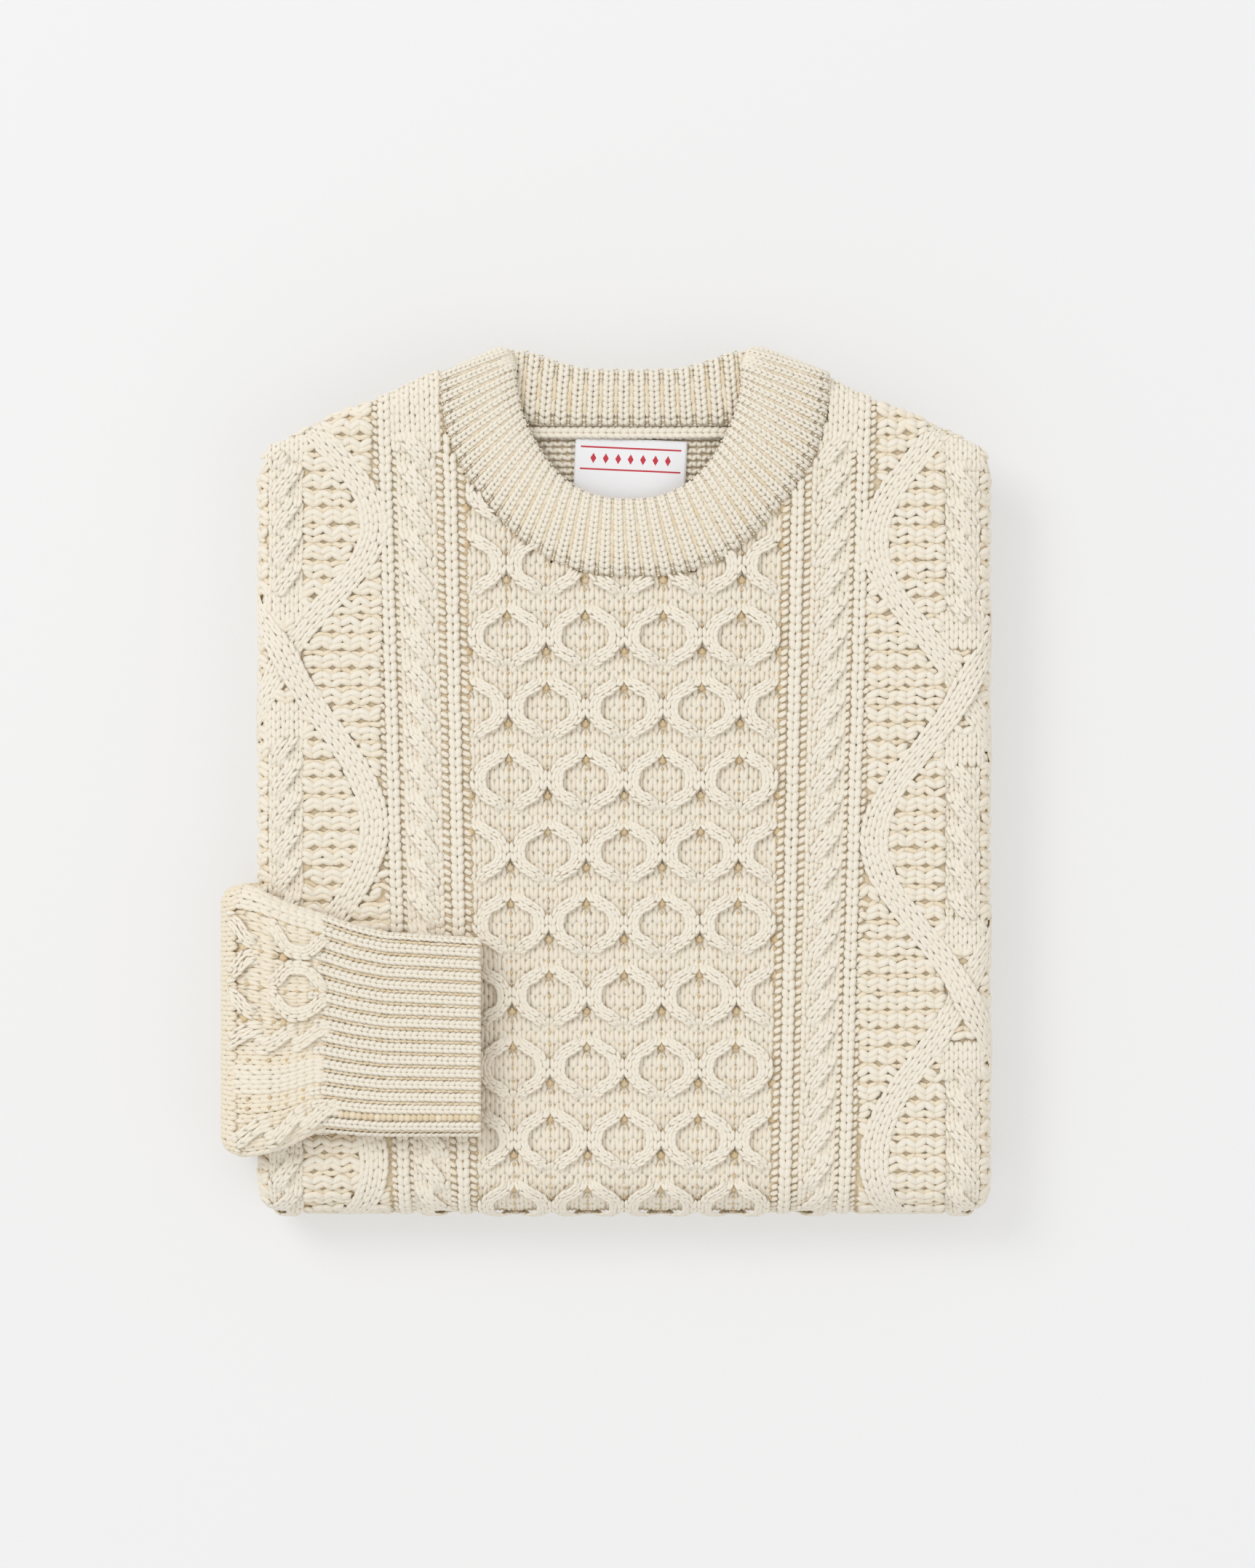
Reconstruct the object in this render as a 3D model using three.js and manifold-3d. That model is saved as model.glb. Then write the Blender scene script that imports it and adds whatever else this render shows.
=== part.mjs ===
// Cable knit crew neck sweater, folded to a rectangle and lying on its folded-under half, in millimetres.
// +X is right, +Y is towards the collar and +Z is up.
// The origin is on the underside, at the middle of the outline.
import * as THREE from "three";
import { mergeVertices } from "three/addons/utils/BufferGeometryUtils.js";
import Module from "manifold-3d";

const wasm = await Module();
wasm.setup();

// Driving dimensions
const gap = 0.3;
const wall = 3.5;
const cable = 3;
const body = {
  centre: 7.5,
  flatHalfWidth: 165.2,
  sideRadius: 10.8,
  top: 45,
  foldRadius: 22.5,
  foldY: -185.5,
};
body.middleZ = body.top - body.sideRadius;
const shoulder = { seamZ: 38.5, depth: 8, backFloor: 32, backEnd: 88, backLimit: 208, layersLimit: 203 };
const lowerStack = { top: 23.1, halfWidth: 176, collarEnd: 168, hemEnd: 140, sheetStep: 11.6 };

// Shoulder line of the folded shape: across from the body's middle, and height up the picture.
const shoulderLine = [
  { across: 58, up: 211.5 },
  { across: 66, up: 209.5 },
  { across: 87, up: 202.5 },
  { across: 101, up: 196.5 },
  { across: 115, up: 189 },
  { across: 136, up: 181 },
  { across: 157, up: 172 },
  { across: 170, up: 165.5 },
  { across: 176, up: 158 },
  { across: 179.5, up: 149 },
];

// Seam between the front and the neckband, then the band's free edge, as half widths at heights.
const neck = { seamCentre: 12.8, freeCentre: 9.6, ribs: 47, backRibs: 22 };
const neckSeam = [
  { half: 93.5, up: 202 },
  { half: 93.6, up: 186 },
  { half: 88, up: 163 },
  { half: 78.5, up: 145 },
  { half: 65.5, up: 128.5 },
  { half: 49, up: 113 },
  { half: 31, up: 103.8 },
  { half: 12, up: 99.9 },
  { half: 0, up: 99.5 },
];
const neckFree = [
  { half: 58, up: 209 },
  { half: 54.5, up: 200 },
  { half: 53.5, up: 190 },
  { half: 50.6, up: 177 },
  { half: 44.8, up: 164 },
  { half: 36, up: 151 },
  { half: 25, up: 142 },
  { half: 12.8, up: 137.4 },
  { half: 0, up: 136.4 },
];
const bandLevel = { top: 49, bottom: 41.6, ribDepth: 1.5, backTop: 40.9, backBottom: 32.4 };

// Cable panels, as widths across from the middle of the front.
const honeycomb = { halfWidth: 74.2, halfCells: 8, crossing: 17.3, firstCrossing: 78.9, upTo: 152 };
const rope = { middle: 97.3, halfWidth: 8.8, repeat: 15.8, firstCross: 49.5 };
const column = { inner: 81.4, outer: 111.8, halfWidth: 2.8, height: 1.9 };
const diamond = { from: 116.6, axis: 163, amplitude: 43, closest: 6, repeat: 154.4, cross: 55, strand: 5 };
const rowStep = 8.65;
const taper = { perMm: 0.00023, from: 26 };

// Sleeve and cuff: a flattened tube that climbs the left side and turns onto the front.
const sleeve = { thickness: 12.6, standX: -179.2, turnX: -162.2, turnZ: 38.3, startX: -146, joinX: -138.9 };
const cuff = { thickness: 12, mouthX: -60.4, ribs: 16, ribDepth: 1.3, slit: 1.4, hem: 5.2 };
const label = { width: 54, height: 38, thickness: 0.6, x: 10.2, up: 146.6, turn: -0.045 };

const colours = { yarn: 0xeae1cd, inside: 0xe2d7bf, label: 0xf2f1ef };

// Straight-line reading of a table: the value of one column where another column has the given value.
function read(table, key, value, result) {
  const rows = [...table].sort((a, b) => a[key] - b[key]);
  const first = rows[0];
  const last = rows[rows.length - 1];
  if (value <= first[key]) return first[result];
  if (value >= last[key]) return last[result];
  const next = rows.findIndex((row) => row[key] >= value);
  const [a, b] = [rows[next - 1], rows[next]];
  const share = (value - a[key]) / (b[key] - a[key]);
  return a[result] + share * (b[result] - a[result]);
}

// A mesh under construction: triangles are kept as points, and shared corners are merged at the end.
class Skin {
  constructor() {
    this.corners = [];
  }

  triangle(a, b, c) {
    if (a.distanceTo(b) < 1e-4 || b.distanceTo(c) < 1e-4 || a.distanceTo(c) < 1e-4) return;
    this.corners.push(a, b, c);
  }

  // Fills the strip between two rows of points of any counts. Each new edge joins near or raised points.
  zip(left, right) {
    const cost = (p, q) => p.distanceTo(q) - 1.6 * ((p.raised ?? 0) + (q.raised ?? 0));
    let [i, j] = [0, 0];
    while (i < left.length - 1 || j < right.length - 1) {
      const leftEnds = i === left.length - 1;
      const rightEnds = j === right.length - 1;
      const stepLeft = !leftEnds && (rightEnds || cost(left[i + 1], right[j]) <= cost(left[i], right[j + 1]));
      if (stepLeft) {
        this.triangle(left[i], right[j], left[i + 1]);
        i += 1;
      } else {
        this.triangle(left[i], right[j], right[j + 1]);
        j += 1;
      }
    }
  }

  // Closes a ring of points round its middle.
  cap(ring, reversed) {
    const middle = ring.reduce((sum, p) => sum.add(p), new THREE.Vector3()).divideScalar(ring.length);
    ring.forEach((point, k) => {
      const next = ring[(k + 1) % ring.length];
      if (reversed) this.triangle(next, point, middle);
      else this.triangle(point, next, middle);
    });
  }

  solid() {
    const geometry = new THREE.BufferGeometry().setFromPoints(this.corners);
    return toSolid(geometry);
  }
}

function toSolid(geometry) {
  const bare = geometry.index ? geometry.toNonIndexed() : geometry.clone();
  bare.deleteAttribute("normal");
  bare.deleteAttribute("uv");
  const merged = mergeVertices(bare, 1e-3);
  const corners = [...merged.index.array];
  const kept = [];
  for (let k = 0; k < corners.length; k += 3) {
    const [a, b, c] = corners.slice(k, k + 3);
    if (a !== b && b !== c && a !== c) kept.push(a, b, c);
  }
  const vertProperties = new Float32Array(merged.attributes.position.array);
  const made = () =>
    new wasm.Manifold(new wasm.Mesh({ numProp: 3, vertProperties, triVerts: new Uint32Array(kept) }));
  const solid = made();
  if (solid.volume() > 0) return solid;
  for (let k = 0; k < kept.length; k += 3) {
    [kept[k + 1], kept[k + 2]] = [kept[k + 2], kept[k + 1]];
  }
  return made();
}

function toMesh(solid, name, colour) {
  const { vertProperties, triVerts } = solid.getMesh();
  const geometry = new THREE.BufferGeometry();
  geometry.setAttribute("position", new THREE.BufferAttribute(new Float32Array(vertProperties), 3));
  geometry.setIndex(new THREE.BufferAttribute(new Uint32Array(triVerts), 1));
  geometry.computeVertexNormals();
  const material = new THREE.MeshStandardMaterial({ color: colour, roughness: 0.92, metalness: 0 });
  const mesh = new THREE.Mesh(geometry, material);
  mesh.name = name;
  return mesh;
}

// Lofts rings that all have the same count, and closes both ends.
function loft(rings) {
  const skin = new Skin();
  for (let k = 0; k < rings.length - 1; k += 1) {
    const closed = (ring) => [...ring, ring[0]];
    const [a, b] = [closed(rings[k]), closed(rings[k + 1])];
    for (let n = 0; n < a.length - 1; n += 1) {
      if (a[n].distanceTo(b[n + 1]) > a[n + 1].distanceTo(b[n])) {
        skin.triangle(a[n], a[n + 1], b[n]);
        skin.triangle(a[n + 1], b[n + 1], b[n]);
      } else {
        skin.triangle(a[n], a[n + 1], b[n + 1]);
        skin.triangle(a[n], b[n + 1], b[n]);
      }
    }
  }
  skin.cap(rings[0], true);
  skin.cap(rings[rings.length - 1], false);
  return skin.solid();
}

// A slab whose edge is round all the way: an outline in plan, thinned along a half circle.
function roundedSlab(outline, bottom, top) {
  const radius = (top - bottom) / 2;
  const steps = 6;
  const inward = outline.map((point, k) => {
    const before = outline[(k + outline.length - 1) % outline.length];
    const after = outline[(k + 1) % outline.length];
    const along = after.clone().sub(before).normalize();
    return new THREE.Vector2(-along.y, along.x);
  });
  const rings = [];
  for (let k = 0; k <= steps; k += 1) {
    const angle = (Math.PI * k) / steps - Math.PI / 2;
    const inset = radius * (1 - Math.cos(angle));
    const z = (top + bottom) / 2 + radius * Math.sin(angle);
    rings.push(
      outline.map((point, n) => {
        const moved = point.clone().addScaledVector(inward[n], inset);
        return new THREE.Vector3(moved.x, moved.y, z);
      }),
    );
  }
  return loft(rings);
}

function block(x0, x1, y0, y1, z0, z1) {
  const box = new THREE.BoxGeometry(x1 - x0, y1 - y0, z1 - z0);
  box.translate((x0 + x1) / 2, (y0 + y1) / 2, (z0 + z1) / 2);
  return toSolid(box);
}

// A rectangle with round corners, anticlockwise.
function roundedRectangle(halfWidth, y0, y1, radius) {
  const points = [];
  const corners = [
    { x: halfWidth - radius, y: y1 - radius, from: 0 },
    { x: -halfWidth + radius, y: y1 - radius, from: 1 },
    { x: -halfWidth + radius, y: y0 + radius, from: 2 },
    { x: halfWidth - radius, y: y0 + radius, from: 3 },
  ];
  for (const corner of corners) {
    for (let k = 0; k <= 4; k += 1) {
      const angle = ((corner.from + k / 4) * Math.PI) / 2;
      const x = body.centre + corner.x + radius * Math.cos(angle);
      points.push(new THREE.Vector2(x, corner.y + radius * Math.sin(angle)));
    }
  }
  return points;
}

const shoulderAt = (across) => read(shoulderLine, "across", Math.abs(across), "up");

// The panels narrow slightly towards the bottom fold.
const narrowing = (y) => 1 + taper.perMm * (y - taper.from);

// Place of a point of the front. `across` runs round the side folds, `along` runs over the shoulder roll and
// round the bottom fold, and `out` is the height above the ground of the knit.
function placeOnFront(across, along, out) {
  const side = Math.sign(across) || 1;
  const reach = Math.abs(across) - body.flatHalfWidth;
  const turn = reach > 0 ? Math.min(Math.PI, reach / (body.sideRadius + 0.4)) : 0;
  const radius = body.sideRadius + out;
  const flat = Math.min(Math.abs(across), body.flatHalfWidth);
  const x = body.centre + side * (flat + (reach > 0 ? radius * Math.sin(turn) : 0));
  const outward = radius * Math.cos(turn);
  if (along < body.foldY) {
    const angle = Math.min(Math.PI, (body.foldY - along) / body.foldRadius);
    const fromAxis = body.foldRadius - body.sideRadius + outward;
    const y = body.foldY - fromAxis * Math.sin(angle);
    return new THREE.Vector3(x, y, body.foldRadius + fromAxis * Math.cos(angle));
  }
  const z = body.middleZ + outward;
  const start = shoulderAt(x - body.centre) - shoulder.depth - cable;
  if (along <= start || z < shoulder.seamZ) {
    return new THREE.Vector3(x, Math.min(along, start), z);
  }
  const roll = Math.min(Math.PI / 2, (along - start) / shoulder.depth);
  const y = start + (shoulder.depth + out) * Math.sin(roll);
  return new THREE.Vector3(x, y, shoulder.seamZ + (z - shoulder.seamZ) * Math.cos(roll));
}

// Relief fades out on the parts of a fold that face down.
function fade(across, along) {
  const side = (Math.abs(across) - body.flatHalfWidth) / body.sideRadius;
  const bend = (body.foldY - along) / body.foldRadius;
  const limit = (angle) => THREE.MathUtils.clamp(1 - (angle - 1.5) / 0.7, 0, 1);
  return limit(side) * limit(bend);
}

// Rows of one column of the front, from the end under the bottom fold up to the given row,
// and over the shoulder where it goes that far.
function columnRows(first, step, last, overShoulder) {
  const under = body.foldY - Math.PI * body.foldRadius;
  const rows = [under];
  const start = first - step * Math.floor((first - under - step * 0.5) / step);
  for (let y = start; y < last - step * 0.4; y += step) rows.push(y);
  rows.push(last);
  if (overShoulder) {
    for (const share of [0.33, 0.66, 1]) rows.push(last + share * shoulder.depth * (Math.PI / 2));
  }
  return rows;
}

function frontColumn(acrossAt, rows, reliefAt, out) {
  return rows.map((y) => {
    const across = acrossAt(y);
    const raised = out ?? reliefAt(y) * fade(across, y);
    const point = placeOnFront(across, y, raised);
    point.raised = Math.max(0, raised);
    return point;
  });
}

// Distance of a diamond's rope from the diamond's axis, at a height: a rounded zigzag.
function diamondReach(y) {
  const phase = ((y - diamond.cross) / diamond.repeat) * Math.PI;
  const swing = Math.abs(Math.sin(phase));
  return Math.max(diamond.closest, diamond.amplitude * (0.55 * swing + 0.45 * swing * swing));
}

function honeycombColumns() {
  const columns = [];
  const count = honeycomb.halfCells * 2;
  for (let k = 0; k <= count; k += 1) {
    const across = honeycomb.halfWidth * ((2 * k) / count - 1);
    const rows = columnRows(honeycomb.firstCrossing, honeycomb.crossing / 2, honeycomb.upTo, false);
    const relief = (y) => {
      const row = Math.round((honeycomb.firstCrossing - y) / (honeycomb.crossing / 2));
      return cable * honeycombHeight(k, row);
    };
    columns.push({ across, points: frontColumn((y) => across * narrowing(y), rows, relief) });
  }
  return columns;
}

// Height share of the honeycomb at a half-cell boundary or middle, on a crossing row or between two.
// Boundaries repeat four crossings as joining, parting, parting, joining, and neighbours do the opposite.
function honeycombHeight(k, row) {
  const onBoundary = k % 2 === 0;
  const onCrossing = row % 2 === 0;
  if (!onBoundary) return onCrossing ? 0.55 : 1;
  if (!onCrossing) return 0.12;
  const crossing = (((row / 2) % 4) + 4) % 4;
  const joins = crossing === 0 || crossing === 3;
  const odd = (k / 2) % 2 === 1;
  return joins === odd ? 0.95 : 0.55;
}

function plainColumn(across, height, first, step, last, overShoulder) {
  const rows = columnRows(first, step, last, overShoulder);
  return { across, points: frontColumn((y) => across * narrowing(y), rows, () => height) };
}

// One rope of four stitches, two over two: its middle columns are shifted so that the creases lean.
function ropeColumns(side) {
  const columns = [];
  const shares = [-0.62, 0, 0.62];
  for (const share of shares) {
    const across = side * (rope.middle + share * rope.halfWidth);
    const shift = -side * share * rope.repeat * 0.42;
    const top = shoulderAt(rope.middle) - shoulder.depth - cable;
    const rows = columnRows(rope.firstCross + side * shift, rope.repeat / 2, top, true);
    const relief = (y) => {
      const crease = Math.round((rope.firstCross + side * shift - y) / (rope.repeat / 2)) % 2 === 0;
      return crease ? 0.45 * cable : cable;
    };
    columns.push({ across, points: frontColumn((y) => across * narrowing(y), rows, relief) });
  }
  return columns;
}

function diamondColumns(side) {
  const columns = [];
  const { axis, strand } = diamond;
  const limit = body.flatHalfWidth + Math.PI * (body.sideRadius + 0.4);
  const from = (y) => diamond.from * narrowing(y);
  const near = (y) => axis - Math.min(diamondReach(y), axis - from(y) - strand - 2);
  const far = (y) => axis + Math.min(diamondReach(y), limit - axis - strand - 2);
  const edges = [
    { at: from, height: 0 },
    { at: (y) => from(y) + 0.5 * (near(y) - strand - from(y)), height: 0.25 },
    { at: (y) => near(y) - strand, height: 0.1 },
    { at: near, height: 1 },
    { at: (y) => Math.min(near(y) + strand, axis - 3), height: 0.15 },
    { at: (y) => axis - Math.max(1.5, 0.5 * (axis - near(y) - strand)), height: 0.3 },
    { at: () => axis, height: 0.75 },
    { at: (y) => axis + Math.max(1.5, 0.5 * (far(y) - strand - axis)), height: 0.3 },
    { at: (y) => Math.max(far(y) - strand, axis + 3), height: 0.15 },
    { at: far, height: 1 },
    { at: (y) => far(y) + strand, height: 0.1 },
    { at: (y) => far(y) + strand + 0.33 * (limit - far(y) - strand), height: 0.2 },
    { at: (y) => far(y) + strand + 0.66 * (limit - far(y) - strand), height: 0.2 },
    { at: () => limit, height: 0 },
  ];
  for (const [k, edge] of edges.entries()) {
    const acrossAt = (y) => side * edge.at(y);
    const last = 150 - (k > 8 ? 4 : 0);
    const top = k <= 6 ? shoulderAt(Math.abs(acrossAt(150))) - shoulder.depth - cable : last;
    const rows = columnRows(diamond.cross, rowStep, top, k <= 6);
    const relief = (y) => {
      const moss = Math.round((diamond.cross - y) / rowStep) % 2 === 0 ? 0.12 : 0;
      return cable * (edge.height + (edge.height < 0.5 ? moss : 0));
    };
    columns.push({ across: acrossAt(0), points: frontColumn(acrossAt, rows, relief) });
  }
  return columns;
}

// The front: raised columns on the outside, a few plain columns inside, joined all round the rim.
function buildFront() {
  const sideColumns = (side) => {
    const top = (across) => shoulderAt(across) - shoulder.depth - cable;
    const ladder = (across) => plainColumn(side * across, 0, rope.firstCross, rowStep, top(across), true);
    const knit = (across) =>
      plainColumn(side * across, column.height, rope.firstCross, rowStep, top(across), true);
    return [
      ladder(column.inner - column.halfWidth),
      knit(column.inner),
      ladder(column.inner + column.halfWidth),
      ...ropeColumns(side),
      ladder(column.outer - column.halfWidth),
      knit(column.outer),
      ...diamondColumns(side),
    ];
  };
  const outer = [...sideColumns(-1).reverse(), ...honeycombColumns(), ...sideColumns(1)].map((c) => c.points);
  const limit = body.flatHalfWidth + Math.PI * (body.sideRadius + 0.4);
  const stations = [limit, 195, 189, 183, 177, 171, 165.2, 140, 110, 96, 80, 40];
  const inner = [];
  for (const across of [...stations.map((a) => -a), 0, ...stations.reverse()]) {
    const isShoulder = Math.abs(across) < 166 && Math.abs(across) > 79;
    const last = Math.abs(across) > 166 ? 146 : shoulderAt(across) - shoulder.depth - cable;
    const rows = columnRows(rope.firstCross, 33, isShoulder ? last : Math.min(last, 150), isShoulder);
    const bend = [1, 2, 3, 4, 5, 6, 7].map((step) => body.foldY - (step / 8) * Math.PI * body.foldRadius);
    const all = [...rows.filter((y) => y > body.foldY), body.foldY, ...bend, rows[0]].sort((a, b) => a - b);
    inner.push(frontColumn(() => across, all, () => 0, -wall));
  }
  const skin = new Skin();
  for (let k = 0; k < outer.length - 1; k += 1) skin.zip(outer[k], outer[k + 1]);
  for (let k = 0; k < inner.length - 1; k += 1) skin.zip(inner[k + 1], inner[k]);
  skin.zip(inner[0], outer[0]);
  skin.zip(outer[outer.length - 1], inner[inner.length - 1]);
  skin.zip(inner.map((c) => c[c.length - 1]), outer.map((c) => c[c.length - 1]));
  skin.zip(outer.map((c) => c[0]), inner.map((c) => c[0]));
  return skin.solid().subtract(neckPlug(gap, 20, 70));
}

// Points of a neck curve from its left end round the front to its right end.
function neckCurve(table, centre, steps) {
  const left = table.map(({ half, up }) => new THREE.Vector3(centre - half, up, 0));
  const right = [...table].reverse().slice(1).map(({ half, up }) => new THREE.Vector3(centre + half, up, 0));
  const curve = new THREE.CatmullRomCurve3([...left, ...right], false, "centripetal");
  return curve.getSpacedPoints(steps);
}

// Everything inside the neck seam, as a prism that cuts the front.
function neckPlug(grow, bottom, top) {
  const points = neckCurve(neckSeam, neck.seamCentre, 40);
  const shape = new THREE.Shape();
  shape.moveTo(points[0].x - grow, 260);
  for (const [k, point] of points.entries()) {
    const before = points[Math.max(0, k - 1)];
    const after = points[Math.min(points.length - 1, k + 1)];
    const along = after.clone().sub(before).normalize();
    shape.lineTo(point.x + grow * along.y, point.y - grow * along.x);
  }
  shape.lineTo(points[points.length - 1].x + grow, 260);
  const prism = new THREE.ExtrudeGeometry(shape, { depth: top - bottom, bevelEnabled: false });
  prism.translate(0, 0, bottom);
  return toSolid(prism);
}

// Front half of the neckband: one ring of section points at each rib and each groove.
function bandFront() {
  const count = neck.ribs * 2;
  const seam = neckCurve(neckSeam, neck.seamCentre, count);
  const free = neckCurve(neckFree, neck.freeCentre, count);
  const { top, bottom, ribDepth } = bandLevel;
  const section = [
    { share: 0, z: bottom, rib: 0 },
    { share: 0, z: top - 2.4, rib: 0.6 },
    { share: 0.18, z: top - 0.5, rib: 1 },
    { share: 0.5, z: top + 0.3, rib: 1 },
    { share: 0.8, z: top, rib: 1 },
    { share: 0.95, z: top - 1.6, rib: 1 },
    { share: 1, z: (top + bottom) / 2, rib: 0 },
    { share: 0.94, z: bottom + 0.6, rib: 0 },
    { share: 0.5, z: bottom, rib: 0 },
  ];
  return loft(
    seam.map((start, k) =>
      section.map(({ share, z, rib }) => {
        const groove = k % 2 === 1 ? ribDepth * rib : 0;
        const point = start.clone().lerp(free[k], share);
        return new THREE.Vector3(point.x, point.y, z - groove);
      }),
    ),
  );
}

// Back half of the neckband, seen from inside: it lies lower, from its fold at the top to its seam.
const backFold = [
  { across: 0, up: 199 },
  { across: 24, up: 199.4 },
  { across: 38, up: 203 },
  { across: 50, up: 207.5 },
  { across: 60, up: 208.5 },
  { across: 88, up: 199 },
];
const backSeam = [
  { across: 0, up: 172.6 },
  { across: 45, up: 173 },
  { across: 60, up: 177 },
  { across: 75, up: 186 },
  { across: 88, up: 193 },
];

function bandBack() {
  const { backTop, backBottom, ribDepth } = bandLevel;
  const section = [
    { share: 0, z: backBottom + 0.6, rib: 0 },
    { share: 0, z: backTop - 2.6, rib: 0.6 },
    { share: 0.2, z: backTop - 1, rib: 1 },
    { share: 0.55, z: backTop - 0.3, rib: 1 },
    { share: 0.85, z: backTop, rib: 1 },
    { share: 0.97, z: backTop - 1.6, rib: 0.7 },
    { share: 1, z: (backTop + backBottom) / 2, rib: 0 },
    { share: 0.95, z: backBottom, rib: 0 },
  ];
  const rings = [];
  const halfWidth = 84;
  const count = neck.backRibs * 2;
  for (let k = 0; k <= count; k += 1) {
    const across = halfWidth * ((2 * k) / count - 1);
    const foldUp = read(backFold, "across", Math.abs(across), "up");
    const seamUp = read(backSeam, "across", Math.abs(across), "up");
    rings.push(
      section.map(({ share, z, rib }) => {
        const groove = k % 2 === 1 ? ribDepth * rib : 0;
        const fan = 1 - 0.06 * share;
        return new THREE.Vector3(
          neck.freeCentre + 1.4 + across * fan,
          seamUp + (foldUp - seamUp) * share,
          z - groove,
        );
      }),
    );
  }
  return loft(rings);
}

// The roll where the band turns from its front half to its back half, from the shoulder seam to the corner.
function bandCorner(side) {
  const radius = (bandLevel.top - bandLevel.backBottom) / 2 - 0.4;
  const from = new THREE.Vector3(neck.seamCentre + side * 86, 194.5, 0);
  const to = new THREE.Vector3(neck.freeCentre + side * 57, 203, 0);
  const middle = from.clone().lerp(to, 0.5);
  const roll = new THREE.CapsuleGeometry(radius, from.distanceTo(to) - 9, 4, 10);
  const direction = to.clone().sub(from).normalize();
  roll.applyQuaternion(new THREE.Quaternion().setFromUnitVectors(new THREE.Vector3(0, 1, 0), direction));
  roll.translate(middle.x, middle.y, (bandLevel.top + bandLevel.backBottom) / 2);
  return toSolid(roll);
}

function buildNeckband() {
  return bandFront().add(bandBack()).add(bandCorner(-1)).add(bandCorner(1));
}

// The back, from behind the shoulder seams to below the neck: its ridged inside shows through the neck.
function buildBack() {
  const across = [-158, -140, -112, -95, -75, -50, -25, 0, 25, 50, 75, 95, 112, 140, 158];
  const ridge = { step: 2.2, height: 0.9 };
  const place = (x, along, out) => {
    const start = Math.min(shoulderAt(x), shoulder.backLimit) - shoulder.depth - cable;
    const z = shoulder.seamZ - gap;
    const level = z - shoulder.backFloor;
    if (along <= start) return new THREE.Vector3(body.centre + x, along, shoulder.backFloor - out);
    const roll = Math.min(Math.PI / 2, (along - start) / shoulder.depth);
    const y = start + (shoulder.depth + out) * Math.sin(roll);
    return new THREE.Vector3(body.centre + x, y, z - (level + out) * Math.cos(roll));
  };
  const over = [0, 0.33, 0.66, 1].map((share) => share * shoulder.depth * (Math.PI / 2));
  const outer = across.map((x) => {
    const start = Math.min(shoulderAt(x), shoulder.backLimit) - shoulder.depth - cable;
    return [shoulder.backEnd, ...over.map((step) => start + step)].map((along) => place(x, along, 0));
  });
  const inner = across.map((x) => {
    const start = Math.min(shoulderAt(x), shoulder.backLimit) - shoulder.depth - cable;
    const rows = [shoulder.backEnd];
    const ridged = Math.abs(x) < 80;
    for (let y = 132; ridged && y < 173; y += ridge.step) rows.push(y);
    return [...rows, ...over.map((step) => start + step)].map((along, k) => {
      const raised = k > 0 && k < rows.length && k % 2 === 0 ? ridge.height : 0;
      const point = place(x, along, -wall - raised);
      point.raised = raised;
      return point;
    });
  });
  const skin = new Skin();
  for (let k = 0; k < outer.length - 1; k += 1) {
    skin.zip(outer[k], outer[k + 1]);
    skin.zip(inner[k + 1], inner[k]);
  }
  skin.zip(inner[0], outer[0]);
  skin.zip(outer[outer.length - 1], inner[inner.length - 1]);
  skin.zip(inner.map((c) => c[c.length - 1]), outer.map((c) => c[c.length - 1]));
  skin.zip(outer.map((c) => c[0]), inner.map((c) => c[0]));
  return skin.solid().subtract(backBandPlug());
}

// The place of the band's back half and its corner rolls, which the back leaves free.
function backBandPlug() {
  const shape = new THREE.Shape();
  const middle = neck.freeCentre + 1.4;
  shape.moveTo(middle - 100, 240);
  shape.lineTo(middle - 100, 188);
  for (let across = -90; across <= 90; across += 3) {
    const up = read(backSeam, "across", Math.abs(across), "up") - gap;
    shape.lineTo(middle + across, Math.min(up, 184.5));
  }
  shape.lineTo(middle + 100, 188);
  shape.lineTo(middle + 100, 240);
  const prism = new THREE.ExtrudeGeometry(shape, { depth: 40, bevelEnabled: false });
  prism.translate(0, 0, 20);
  return toSolid(prism);
}

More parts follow.
